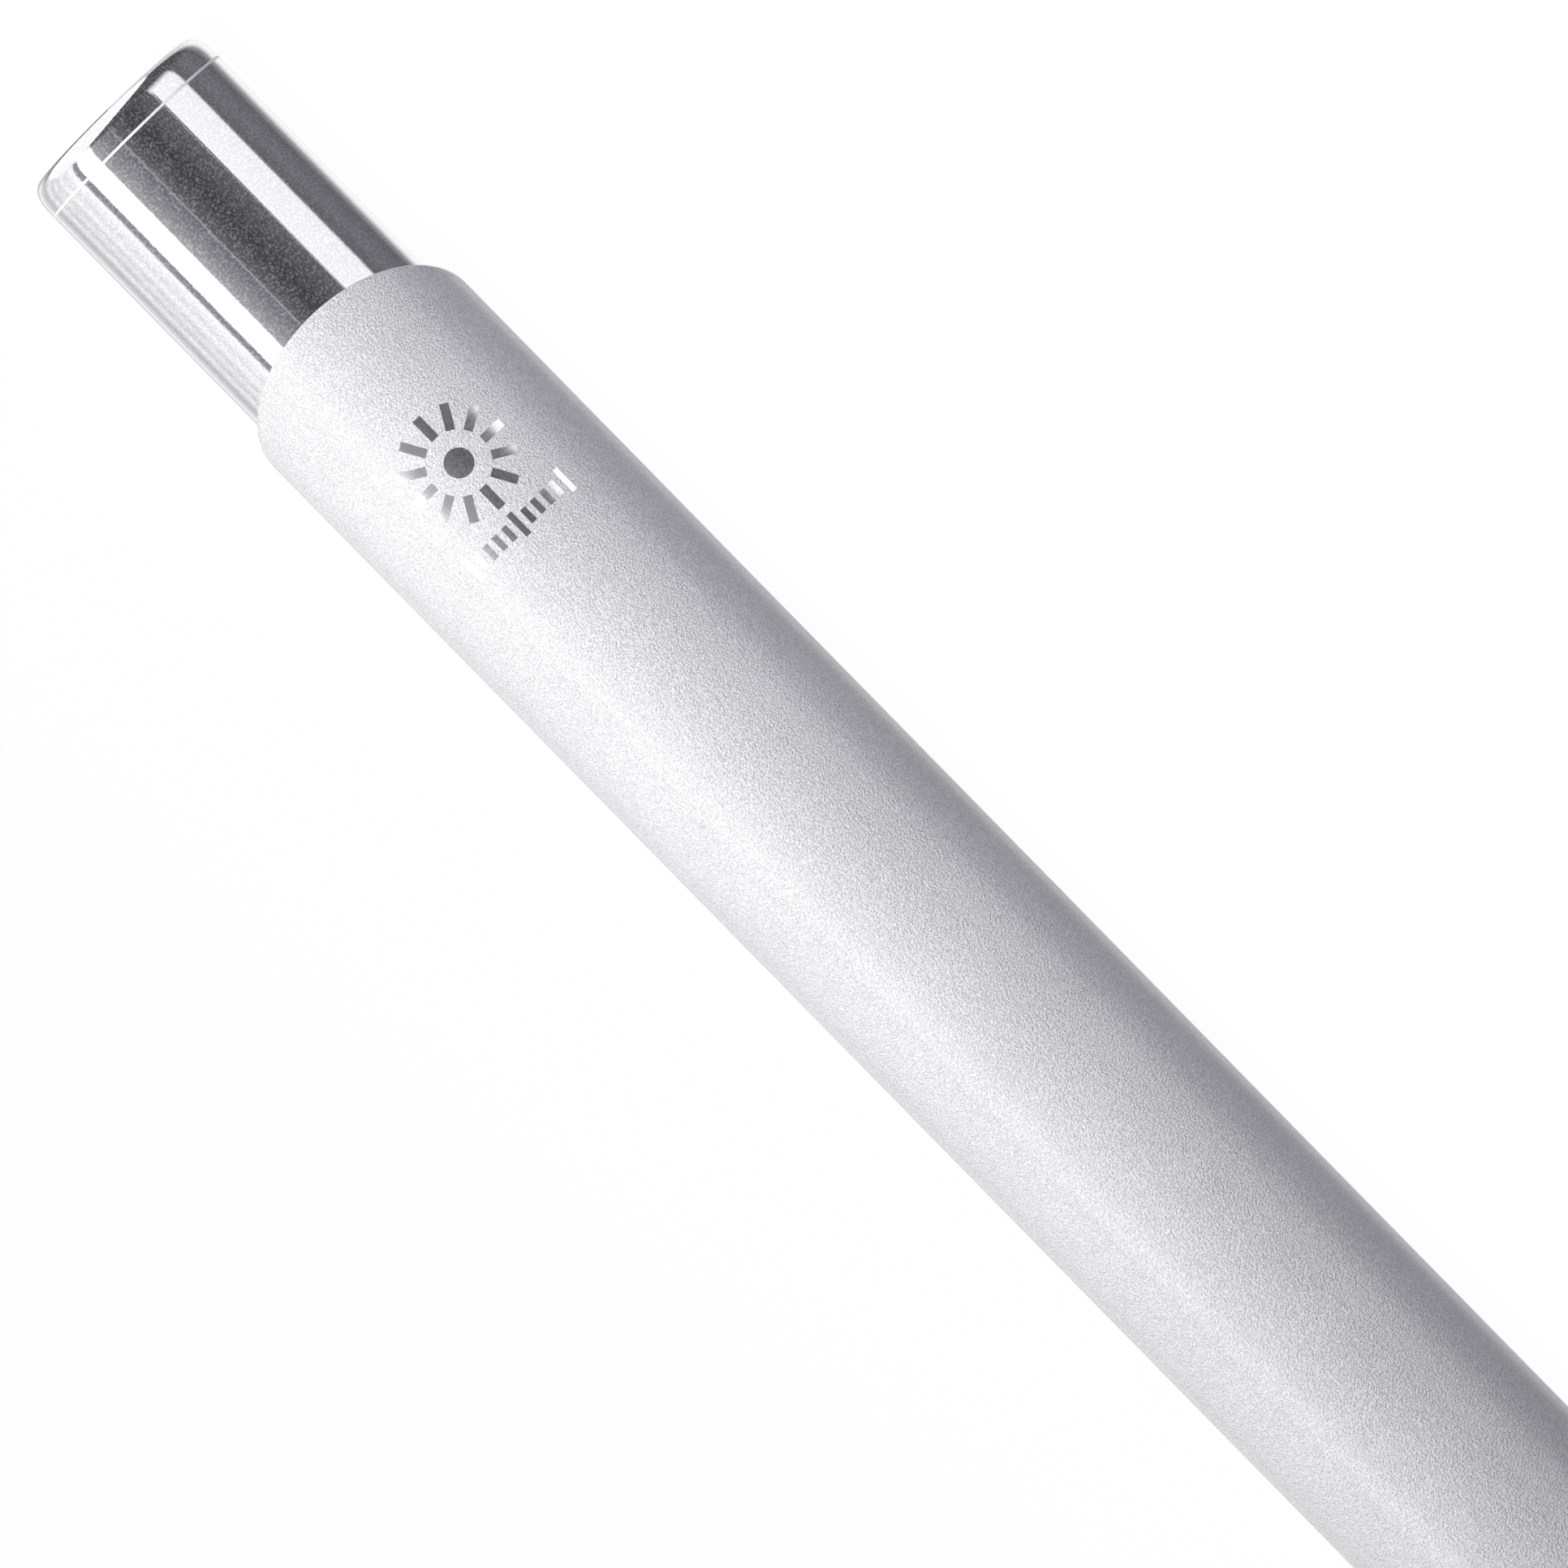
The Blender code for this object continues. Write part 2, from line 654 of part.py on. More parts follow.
def make_clip():
    """A bent strip: a tab through the barrel's slot, the arm, and a dip back to the barrel."""
    end = clip_root - CLIP_LENGTH
    corners = [
        Vector((clip_inner_end, clip_root)),
        Vector((clip_arm, clip_root)),
        Vector((clip_arm, end + CLIP_TAIL + CLIP_DIP)),
        Vector((clip_bump, end + CLIP_TAIL)),
        Vector((clip_bump + CLIP_TAIL_LIFT, end)),
    ]
    path = rounded_path(corners, [CLIP_BEND, CLIP_DIP_BEND, CLIP_DIP_BEND / 2], EDGE_STEPS)
    bm = bmesh.new()
    row = [bm.verts.new((-CLIP_WIDTH / 2, y - clip_hinge.y, z - clip_hinge.z)) for y, z in path]
    edges = [bm.edges.new(pair) for pair in zip(row, row[1:])]
    strip = bmesh.ops.extrude_edge_only(bm, edges=edges)
    far_side = [item for item in strip["geom"] if isinstance(item, bmesh.types.BMVert)]
    bmesh.ops.translate(bm, verts=far_side, vec=(CLIP_WIDTH, 0, 0))
    clip = add_part("clip", mesh_from(bm, "clip"), CHROME)
    clip.location = clip_hinge
    solidify = clip.modifiers.new("Strip", "SOLIDIFY")
    solidify.thickness = CLIP_THICKNESS
    solidify.offset = 0
    solidify.use_even_offset = True
    bevel = clip.modifiers.new("Edges", "BEVEL")
    bevel.width = CLIP_EDGE
    bevel.segments = 2
    bevel.limit_method = "ANGLE"
    bevel.angle_limit = math.radians(60)


def lay_down():
    """Roll the pen until the clip's edge meets the table beside the barrel, then centre it."""
    reach = Vector((clip_outside - CLIP_EDGE, CLIP_WIDTH / 2 - CLIP_EDGE))
    roll = math.asin((barrel_radius - CLIP_EDGE) / reach.length) - math.atan2(reach.y, reach.x)
    far_side = reach.x * math.cos(roll) + reach.y * math.sin(roll) + CLIP_EDGE
    middle = (far_side - barrel_radius) / 2
    place = Matrix.Translation((-pen_top / 2, -middle, barrel_radius))
    REST.matrix_world = place @ Matrix.Rotation(-roll, 4, "X") @ Matrix.Rotation(math.pi / 2, 4, "Y")
    print(f"Pen length {1000 * pen_top:.2f} mm, roll at rest {math.degrees(roll):.3f} degrees")
    print(f"Refill travel {1000 * refill_travel:.4f} mm, refill {1000 * (refill_top - POINT_RECESS):.2f} mm long")
    for label, point in (("clip hinge", clip_hinge), ("ball centre", Vector((0, 0, ball_centre)))):
        print(label, [round(value, 6) for value in REST.matrix_world @ point])


make_barrel()
make_button()
make_guide()
make_plunger()
make_rotor()
make_refill()
make_point()
make_nose()
make_spring()
make_clip()
lay_down()
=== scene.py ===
"""Looks of a retractable ballpoint pen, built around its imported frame.

Every piece is made in the pen's own upright frame, in metres: the writing end
is at z = 0, the push button on top, the front faces -Y and the clip +Y. The
matrix PEN then lays it where the frame has it.
"""

import json
import math

import bmesh
import bpy
from mathutils import Matrix, Vector


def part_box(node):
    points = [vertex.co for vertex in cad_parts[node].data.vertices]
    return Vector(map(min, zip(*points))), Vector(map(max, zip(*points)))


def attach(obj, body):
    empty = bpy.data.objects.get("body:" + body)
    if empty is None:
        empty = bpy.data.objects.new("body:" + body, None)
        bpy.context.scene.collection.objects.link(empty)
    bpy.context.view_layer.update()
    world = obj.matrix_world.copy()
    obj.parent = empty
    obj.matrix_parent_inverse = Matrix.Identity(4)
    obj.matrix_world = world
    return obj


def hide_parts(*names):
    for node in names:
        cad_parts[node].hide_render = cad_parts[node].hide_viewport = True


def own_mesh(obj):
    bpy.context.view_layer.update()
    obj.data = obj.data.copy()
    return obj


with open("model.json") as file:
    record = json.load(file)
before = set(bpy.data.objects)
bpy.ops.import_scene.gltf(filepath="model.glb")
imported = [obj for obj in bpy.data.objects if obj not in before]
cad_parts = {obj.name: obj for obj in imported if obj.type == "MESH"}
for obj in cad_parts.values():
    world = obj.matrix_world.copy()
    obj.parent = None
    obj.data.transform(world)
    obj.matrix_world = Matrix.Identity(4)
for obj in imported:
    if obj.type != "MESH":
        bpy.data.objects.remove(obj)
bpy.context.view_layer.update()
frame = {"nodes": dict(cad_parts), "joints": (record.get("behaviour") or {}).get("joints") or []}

bl_info = {
    "name": "Ballpoint Pen Finish",
    "version": (1, 0, 0),
    "blender": (4, 5, 0),
    "location": "3D View > Sidebar > Pen",
    "description": "Turns the finished pieces of a ballpoint pen and sets up a studio round them",
    "category": "Object",
}

LATHE_STEPS = 192
CORNER_STEPS = 6
SUPPORT_SHARE = 0.5  # of a corner's radius, where the straight run starts to shade flat
SHARP_ANGLE = math.radians(40)
SAME_PLACE = 1e-6  # two places this close count as one
SLOT_POINTS = 14  # from the middle of the clip's slot to its side
THREAD_POINTS = 12  # in one rise of the thread
# Stepped bore of the nose from its tip up: radii, and the heights of the steps between them
NOSE_BORES = (0.00125, 0.00185, 0.00255, 0.00305)
NOSE_STEPS = (0.003975, 0.0088, 0.017475)


# Where the frame has the pen

def joint(name):
    return next(item for item in frame["joints"] if item["name"] == name)


def pen_matrix():
    """From the pen's own upright frame to where it lies."""
    cap_low, cap_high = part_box("button_cap")
    middle = (cap_low + cap_high) / 2
    hinge = Vector(joint("clip_flex")["pos_m"])
    along = Vector((1, 0, 0))
    back = Vector((0, hinge.y - middle.y, hinge.z - middle.z)).normalized()
    matrix = Matrix((back.cross(along), back, along)).transposed().to_4x4()
    matrix.translation = (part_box("nose_cone")[0].x, middle.y, middle.z)
    return matrix


PEN = pen_matrix()
INTO_PEN = PEN.inverted()


def bottom(node):
    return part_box(node)[0].x - PEN.translation.x


def top(node):
    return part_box(node)[1].x - PEN.translation.x


def reach(node):
    """A node's greatest distance from the pen's axis."""
    points = [INTO_PEN @ vertex.co for vertex in frame["nodes"][node].data.vertices]
    return max(math.hypot(point.x, point.y) for point in points)


def clip_root():
    """Height at which the clip's tab goes into the barrel."""
    return (INTO_PEN @ Vector(joint("clip_flex")["pos_m"])).z


# Sizes and colours that a user would change

def length(label, text, default):
    return bpy.props.FloatProperty(
        name=label, description=text, default=default, precision=5, subtype="DISTANCE", unit="LENGTH")


def angle(label, text, degrees):
    return bpy.props.FloatProperty(
        name=label, description=text, default=math.radians(degrees), subtype="ANGLE", unit="ROTATION")


def number(label, text, default):
    return bpy.props.FloatProperty(name=label, description=text, default=default, precision=4)


def count(label, text, default):
    return bpy.props.IntProperty(name=label, description=text, default=default, min=1)


def colour(label, text, default):
    return bpy.props.FloatVectorProperty(
        name=label, description=text, default=default, size=3, min=0, max=1, subtype="COLOR")


class PenBarrelSettings(bpy.types.PropertyGroup):
    """Barrel tube with a mouth cut on a slant"""

    wall: length("Wall", "Thickness of the tube", 0.00055)
    slant: angle("Mouth slant", "Angle of the mouth from square, with the high side in front", 30)
    mouth_edge: length("Mouth edge", "Rounding of the mouth's outer edge", 0.00022)
    foot_edge: length("Foot edge", "Rounding of the tube's lower edge", 0.00010)
    slot_clearance: length("Slot clearance", "Room round the clip's tab in its slot", 0.00015)
    tint: colour("Tint", "Colour of the satin aluminium", (0.798, 0.793, 0.822))
    grain: length("Grain", "Size of the blasted grain", 0.00007)


class PenMarkSettings(bpy.types.PropertyGroup):
    """Polished mark on the front of the barrel: a ring of rays over a row of ticks"""

    drop: length("Drop", "From the mouth's high side down to the middle of the ring", 0.0079)
    side: length("Side", "How far the mark sits to the side of the barrel's front", 0.00016)
    rays: count("Rays", "Rays in the ring", 12)
    ray_ring: length("Ray ring", "Radius at the middle of the rays", 0.00178)
    ray_length: length("Ray length", "Length of a ray", 0.00104)
    stroke: length("Stroke", "Width of a ray", 0.00036)
    dot: length("Dot", "Radius of the dot in the middle", 0.00058)
    ticks: count("Ticks", "Ticks in the row", 11)
    tick_pitch: length("Tick pitch", "From one tick to the next", 0.00050)
    tick_stroke: length("Tick stroke", "Width of a tick", 0.000252)
    tick_length: length("Tick length", "Length of a long tick", 0.0011)
    short_tick: number("Short tick", "Length of a short tick as a share of a long one", 0.6)
    row_drop: length("Row drop", "From the middle of the ring down to the row", 0.0032)
    height: length("Height", "How far the mark stands out of the barrel", 0.00001)


class PenButtonSettings(bpy.types.PropertyGroup):
    """Push button: a chromed tube and its cap"""

    wall: length("Wall", "Thickness of the tube", 0.00045)
    seam: length("Seam", "Chamfer of the tube under the cap", 0.00003)
    foot_edge: length("Foot edge", "Rounding of the tube's lower edge", 0.00012)
    cap_edge: length("Cap edge", "How far the cap's rounding reaches in from its side", 0.00085)
    cap_crown: number("Cap crown", "1 for an elliptic rounding of the cap, less for a squarer one", 0.68)
    cap_seat: length("Cap seat", "Gap between the cap and its tube", 0.00005)
    cap_plug: length("Cap plug", "Depth of the plug under the cap", 0.0030)
    seam_drop: length("Seam drop", "How far the cap reaches down over the tube", 0.00012)
    # the seam bead's near-white finish is a painted highlight along the seam
    seam_ring: length("Seam ring", "Height of the bright bead that fills the seam", 0.00016)


class PenClipSettings(bpy.types.PropertyGroup):
    """Clip bent from a strip"""

    width: length("Width", "Width of the strip", 0.0042)
    thickness: length("Thickness", "Thickness of the strip", 0.0010)
    gap: length("Gap", "Room between the arm and the barrel", 0.0012)
    tab: length("Tab", "From the pen's axis to the tab's inner end", 0.0035)
    dip: length("Dip", "Length over which the arm comes back to the barrel", 0.0055)
    tail: length("Tail", "Length of the turned-up tail", 0.0025)
    tail_lift: length("Tail lift", "How far the tail turns up", 0.0009)
    rest: length("Rest", "Room between the barrel and the lowest point of the arm", 0.00015)
    root_bend: length("Root bend", "Radius of the bend at the root", 0.0009)
    dip_bend: length("Dip bend", "Radius where the dip starts", 0.0030)
    edge: length("Edge", "Rounding of the strip's edges", 0.00015)
    tail_corner: length("Tail corner", "Rounding of the tail's corners", 0.0014)


class PenNoseSettings(bpy.types.PropertyGroup):
    """Nose cone with its thread, and the ring above it"""

    base: length("Base", "Radius of the cone's base", 0.0048)
    tip: length("Tip", "Radius of the cone's tip", 0.0018)
    bulge: length("Bulge", "How far the cone swells between base and tip", 0.0003)
    tip_edge: length("Tip edge", "Rounding of the tip", 0.0003)
    base_edge: length("Base edge", "Rounding of the base", 0.00015)
    play: length("Play", "Room between the ring and the thread that it sits on", 0.0001)
    thread: length("Thread", "Radius over the thread", 0.00385)
    thread_pitch: length("Thread pitch", "Rise of the thread in one turn", 0.0010)
    thread_depth: length("Thread depth", "Depth of the thread", 0.00030)
    ring_edge: length("Ring edge", "Rounding of the ring", 0.00014)


class PenSpringSettings(bpy.types.PropertyGroup):
    """Return spring with closed ends"""

    wire: length("Wire", "Thickness of the wire", 0.0004)
    turns: number("Turns", "Turns from end to end", 9)
    keep: number("Pressed length", "Length with the button pressed, as a share of that at rest", 0.61)


class PenPointSettings(bpy.types.PropertyGroup):
    """Steel point and its ball"""

    cone: length("Cone", "Length of the cone at the point", 0.0028)
    rim: length("Rim", "Thickness of the rim round the ball", 0.00012)
    shoulder: length("Shoulder", "Rounding where the cone meets the shank", 0.00025)
    channel: length("Channel", "Radius of the ink channel", 0.0004)
    play: length("Play", "Room between the ball and its cup", 0.00004)


class PenStageSettings(bpy.types.PropertyGroup):
    """Camera, floor and light"""

    camera_elevation: angle("Camera elevation", "Height of the camera above the table", 25.07)
    pen_tilt: angle("Pen tilt", "How far the pen runs down to the right in the picture", 45.55)
    picture: length("Picture", "Width of the picture at the pen", 0.05898)
    camera_distance: length("Camera distance", "From the pen to the camera", 0.7)
    centre_drop: length("Centre drop", "From the button's top to the middle of the picture", 0.03576)
    centre_shift: length("Centre shift", "From the pen's axis to the middle of the picture", 0.000345)
    key_angle: angle("Key angle", "Height of the key lamp, from the camera up and over the pen", 34.5)
    key_distance: length("Key distance", "From the pen to the key lamp", 0.12)
    key_size: length("Key size", "Width of the key lamp", 0.08)
    key_power: number("Key power", "Power of the key lamp in watts", 0.202)
    end_angle: angle("End panel angle", "How far over the pen's axis the softbox past each end stands", 20)
    end_spread: angle("End panel spread", "Half the angle that the round softbox takes up", 45)
    end_level: number("End panel level", "Brightness of the round softbox past the button", 1.42)
    nose_level: number("Nose panel level", "Brightness of the round softbox past the nose", 0.95)
    end_power: number("End lamp power", "Power of the small lamp past the button in watts", 0.04)
    end_distance: length("End lamp distance", "From the button's top to the small lamp", 0.06)
    end_size: length("End lamp size", "Width of the small lamp", 0.008)
    ambient: number("Ambient", "Strength of the light from all round on matt surfaces", 0.03)
    floor_colour: colour("Floor", "Colour of the floor", (0.41, 0.405, 0.44))
    floor_glow: number("Floor glow", "Share of the floor that the camera sees as plain white", 0.93)
    floor_white: number("Floor white", "Brightness of that plain white", 1.05)


class PenSettings(bpy.types.PropertyGroup):
    """All settings of the pen"""

    barrel: bpy.props.PointerProperty(type=PenBarrelSettings)
    mark: bpy.props.PointerProperty(type=PenMarkSettings)
    button: bpy.props.PointerProperty(type=PenButtonSettings)
    clip: bpy.props.PointerProperty(type=PenClipSettings)
    nose: bpy.props.PointerProperty(type=PenNoseSettings)
    spring: bpy.props.PointerProperty(type=PenSpringSettings)
    point: bpy.props.PointerProperty(type=PenPointSettings)
    stage: bpy.props.PointerProperty(type=PenStageSettings)


# Shapes

def rounded(corners, closed=True, steps=CORNER_STEPS):
    """Points along a line whose corners (x, y, radius) are rounded off by arcs.

    A support point on each side of an arc keeps the straight runs flat when
    they are shaded smooth.
    """
    points = []
    last = len(corners) - 1
    for i, (x, y, radius) in enumerate(corners):
        here = Vector((x, y))
        if radius == 0 or (not closed and i in (0, last)):
            points.append(here)
            continue
        back = (Vector(corners[i - 1][:2]) - here).normalized()
        ahead = (Vector(corners[(i + 1) % len(corners)][:2]) - here).normalized()
        half = back.angle(ahead) / 2
        start = here + back * (radius / math.tan(half))
        end = here + ahead * (radius / math.tan(half))
        centre = here + (back + ahead).normalized() * (radius / math.sin(half))
        sweep = math.pi - 2 * half
        if back.cross(ahead) > 0:
            sweep = -sweep
        points.append(start + back * radius * SUPPORT_SHARE)
        for j in range(steps + 1):
            points.append(centre + Matrix.Rotation(sweep * j / steps, 2) @ (start - centre))
        points.append(end + ahead * radius * SUPPORT_SHARE)
    return points


def arc(x, y, radius, start, end, steps):
    """Points round (x, y) from one angle to another."""
    turns = [start + (end - start) * i / steps for i in range(steps + 1)]
    return [Vector((x + radius * math.cos(turn), y + radius * math.sin(turn))) for turn in turns]


def split_runs(points, longest):
    """The same line with points added on its long runs."""
    result = [points[0]]
    for start, end in zip(points, points[1:]):
        parts = max(1, math.ceil((end - start).length / longest))
        result += [start.lerp(end, (i + 1) / parts) for i in range(parts)]
    return result


def with_heights(points, heights):
    """The same line with a point wherever a run passes one of the heights."""
    result = [points[0]]
    for start, end in zip(points, points[1:]):
        passed = [height for height in heights if min(start.y, end.y) < height < max(start.y, end.y)]
        for height in sorted(passed, reverse=end.y < start.y):
            result.append(start.lerp(end, (height - start.y) / (end.y - start.y)))
        result.append(end)
    return result


def lathe(profile, steps=LATHE_STEPS, spacing=None):
    """A shape turned about the pen's axis from (radius, height) points.

    A profile that starts on the axis also ends there, and gives a solid; any
    other gives a ring. The points of a turn are evenly spaced, unless a
    function gives their angles for a radius.
    """
    bm = bmesh.new()
    rings = []
    for radius, height in profile:
        if radius < SAME_PLACE:
            rings.append([bm.verts.new((0, 0, height))])
            continue
        turns = spacing(radius) if spacing else [2 * math.pi * i / steps for i in range(steps)]
        rings.append([bm.verts.new((radius * math.cos(a), radius * math.sin(a), height)) for a in turns])
    pairs = list(zip(rings, rings[1:]))
    if len(rings[0]) > 1:
        pairs.append((rings[-1], rings[0]))
    for first, second in pairs:
        for i in range(steps):
            j = (i + 1) % steps
            corners = (first[i % len(first)], first[j % len(first)],
                       second[j % len(second)], second[i % len(second)])
            bm.faces.new(dict.fromkeys(corners))
    bmesh.ops.recalc_face_normals(bm, faces=bm.faces)
    return bm


def add_faces(bm, lines):
    """Four-sided faces between lines of points."""
    for first, second in zip(lines, lines[1:]):
        for i in range(len(first) - 1):
            bm.faces.new((first[i], first[i + 1], second[i + 1], second[i]))


def new_piece(name, bm):
    """A piece from a shape in the pen's own frame, still in that frame."""
    mesh = bpy.data.meshes.new(name)
    bm.to_mesh(mesh)
    bm.free()
    piece = bpy.data.objects.new(name, mesh)
    bpy.context.scene.collection.objects.link(piece)
    return piece


def make_plain(piece):
    """Turn a piece's modifiers into plain mesh."""
    bpy.context.view_layer.update()
    depsgraph = bpy.context.evaluated_depsgraph_get()
    mesh = bpy.data.meshes.new_from_object(piece.evaluated_get(depsgraph))
    mesh.name = piece.name
    piece.modifiers.clear()
    piece.data = mesh


def set_in_frame(piece, body, *nodes, material=None):
    """Lay a piece down, shade it, and hand it to the frame."""
    mesh = piece.data
    mesh.transform(PEN)
    mesh.shade_smooth()
    mesh.set_sharp_from_angle(angle=SHARP_ANGLE)
    if material:
        mesh.materials.clear()
        mesh.materials.append(material)
    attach(piece, body)
    if nodes:
        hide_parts(*nodes)
    return piece


# Node trees

SOCKETS = {int: "NodeSocketInt", float: "NodeSocketFloat", tuple: "NodeSocketVector",
           bpy.types.Material: "NodeSocketMaterial"}


def set_inputs(tree, node, inputs):
    """Link a node's inputs to sockets, or set them to plain values."""
    for name, value in inputs.items():
        if isinstance(value, bpy.types.NodeSocket):
            tree.links.new(value, node.inputs[name])
        else:
            node.inputs[name].default_value = value


def add_node(tree, kind, inputs=None, **values):
    """A node with its properties and its inputs set."""
    node = tree.nodes.new(kind)
    for name, value in values.items():
        setattr(node, name, value)
    set_inputs(tree, node, inputs or {})
    return node


def made(tree, kind, inputs=None, **values):
    """What a new node makes: its first output in use."""
    node = add_node(tree, kind, inputs, **values)
    return next(socket for socket in node.outputs if socket.enabled)


def worked_out(tree, operation, *values):
    """The result of an operation on numbers."""
    return made(tree, "ShaderNodeMath", dict(enumerate(values)), operation=operation)


def sum_of(tree, first, second, share):
    """The first value plus a share of the second."""
    return worked_out(tree, "MULTIPLY_ADD", second, share, first)


def spread(tree, factor, low, high, start=0.3, end=0.7, kind="LINEAR"):
    """A factor's range from start to end, spread between two values."""
    inputs = {"Value": factor, "From Min": start, "From Max": end, "To Min": low, "To Max": high}
    return made(tree, "ShaderNodeMapRange", inputs, interpolation_type=kind)


def vector(tree, **parts):
    """A vector from its parts."""
    return made(tree, "ShaderNodeCombineXYZ", parts)


def blend_colours(tree, factor, first, second):
    """A mix of two colours, each a plain one or a socket."""
    colours = [value if isinstance(value, bpy.types.NodeSocket) else (*value, 1) for value in (first, second)]
    inputs = {"Factor": factor, "A": colours[0], "B": colours[1]}
    return made(tree, "ShaderNodeMix", inputs, data_type="RGBA")


def new_tree(name, values):
    """A node tree that makes geometry from given values, and its inputs."""
    tree = bpy.data.node_groups.new(name, "GeometryNodeTree")
    tree.interface.new_socket("Geometry", in_out="OUTPUT", socket_type="NodeSocketGeometry")
    for label, value in values.items():
        tree.interface.new_socket(label, in_out="INPUT", socket_type=SOCKETS[type(value)])
    return tree, add_node(tree, "NodeGroupInput").outputs


def hand_out(tree, geometry, material):
    """End a node tree: realize its geometry and give it its material."""
    realized = made(tree, "GeometryNodeRealizeInstances", {"Geometry": geometry})
    finished = made(tree, "GeometryNodeSetMaterial", {"Geometry": realized, "Material": material})
    add_node(tree, "NodeGroupOutput", {"Geometry": finished})


def grow(piece, tree, values):
    """Run a node tree on a piece with its inputs set by name, and keep the plain mesh."""
    modifier = piece.modifiers.new(tree.name, "NODES")
    modifier.node_group = tree
    for item in tree.interface.items_tree:
        if item.item_type == "SOCKET" and item.in_out == "INPUT":
            modifier[item.identifier] = values[item.name]
    make_plain(piece)


# Finishes

def new_finish(name):
    """A new material, its tree, its shader and its object coordinates."""
    material = bpy.data.materials.new(name)
    material.use_nodes = True
    tree = material.node_tree
    shader = tree.nodes["Principled BSDF"]
    coordinates = add_node(tree, "ShaderNodeTexCoord").outputs["Object"]
    return material, tree, shader, coordinates


def stretched(tree, coordinates, sizes):
    """Coordinates in cells of the given three sizes."""
    inputs = {"Vector": coordinates, "Scale": [1 / size for size in sizes]}
    return made(tree, "ShaderNodeMapping", inputs)


def noise(tree, coordinates, size, detail=2.0):
    """Noise with features of one size, or of three along the axes."""
    sizes = size if isinstance(size, tuple) else (size, size, size)
    inputs = {"Vector": stretched(tree, coordinates, sizes), "Scale": 1.0, "Detail": detail}
    return made(tree, "ShaderNodeTexNoise", inputs)


def pits(tree, coordinates, size):
    """Distance to the nearest of many small cells, as on a blasted surface."""
    inputs = {"Vector": stretched(tree, coordinates, (size, size, size)), "Scale": 1.0}
    return made(tree, "ShaderNodeTexVoronoi", inputs)


def bumps(tree, height, depth):
    """Normals of bumps of a given depth in metres."""
    inputs = {"Strength": 1.0, "Distance": depth, "Height": height}
    return made(tree, "ShaderNodeBump", inputs)


def shaded(tint, factor):
    return tuple(min(1.0, channel * factor) for channel in tint)


def satin_aluminium(settings):
    """Blasted and anodised aluminium: fine grain over faint broad clouds."""
    material, tree, shader, place = new_finish("satin_aluminium")
    grain = noise(tree, place, settings.grain, detail=0.0)
    craters = pits(tree, place, settings.grain * 1.4)
    clouds = noise(tree, place, 0.004, detail=3.0)
    mottle = spread(tree, sum_of(tree, grain, clouds, 0.15), 0, 1, 0.40, 0.75)
    set_inputs(tree, shader, {
        "Base Color": blend_colours(tree, mottle, shaded(settings.tint, 0.84), shaded(settings.tint, 1.15)),
        "Roughness": spread(tree, grain, 0.62, 0.74),
        "Metallic": 0.33,
        "Coat Weight": 0.50,
        "Coat Roughness": 0.18,
        "Normal": bumps(tree, sum_of(tree, grain, craters, -0.5), 0.000045),
    })
    return material


def polished_aluminium():
    """Mark burnished into the grain, with the fine hatching of the tool."""
    material, tree, shader, place = new_finish("polished_aluminium")
    hatch = noise(tree, place, (0.00003, 0.0006, 0.0006), detail=1.0)
    spots = noise(tree, place, 0.00008)
    set_inputs(tree, shader, {
        "Base Color": blend_colours(tree, spots, (0.74, 0.74, 0.75), (0.88, 0.88, 0.89)),
        "Roughness": spread(tree, hatch, 0.12, 0.26),
        "Metallic": spread(tree, spots, 0.98, 0.88),
        "Normal": bumps(tree, sum_of(tree, hatch, spots, 0.5), 0.000002),
    })
    return material


def chrome(name, tint=(0.70, 0.695, 0.72)):
    """Bright plating with drawing lines along the pen, grit and a faint haze."""
    material, tree, shader, place = new_finish(name)
    lines = noise(tree, place, (0.02, 0.00012, 0.00012))
    specks = noise(tree, place, 0.00009)
    haze = noise(tree, place, 0.0016)
    grit = spread(tree, specks, 0, 1, 0.45, 0.72)
    set_inputs(tree, shader, {
        "Base Color": blend_colours(tree, grit, shaded(tint, 0.92), shaded(tint, 1.23)),
        "Roughness": sum_of(tree, spread(tree, haze, 0.015, 0.035), grit, 0.03),
        "Metallic": spread(tree, grit, 1.0, 0.85, 0, 1),
        "Normal": bumps(tree, sum_of(tree, lines, specks, 0.5), 0.0000014),
    })
    return material


def worked_finish(name, dark, light, stains, marks, roughness, depth, looks=None):
    """A finish whose colour follows one noise, and whose gloss and bumps follow another."""
    material, tree, shader, place = new_finish(name)
    fine = noise(tree, place, *marks)
    set_inputs(tree, shader, {
        "Base Color": blend_colours(tree, noise(tree, place, *stains), dark, light),
        "Roughness": spread(tree, fine, *roughness),
        "Normal": bumps(tree, fine, depth),
        **(looks or {}),
    })
    return material


def painted_highlight_aluminium():
    """Bright cut edge, left with fine tool marks round the axis; its near-white colour is a painted highlight
    along the seam.
    """
    marks = ((0.00002, 0.0008, 0.0008),)
    # near-white colours: painted highlight that stands in for the light caught along the seam
    return worked_finish("painted_highlight_aluminium", (0.90, 0.90, 0.91), (0.97, 0.97, 0.98), marks, marks,
                         (0.38, 0.52), 0.000001, {"Metallic": 0.20})


def bare_metal(name, dark, light, roughness, mark_size, depth):
    """Turned or drawn metal with tool marks round the axis."""
    return worked_finish(name, dark, light, (0.0012, 3.0), ((mark_size, mark_size * 12, mark_size * 12),),
                         (roughness * 0.75, roughness * 1.3), depth, {"Metallic": 1.0})


def moulded_plastic(name, dark, light, roughness):
    """Moulded plastic with a fine spark-eroded texture and slight flow clouds."""
    return worked_finish(name, dark, light, ((0.006, 0.0015, 0.0015),), (0.00012,),
                         (roughness * 0.85, roughness * 1.2), 0.000006)


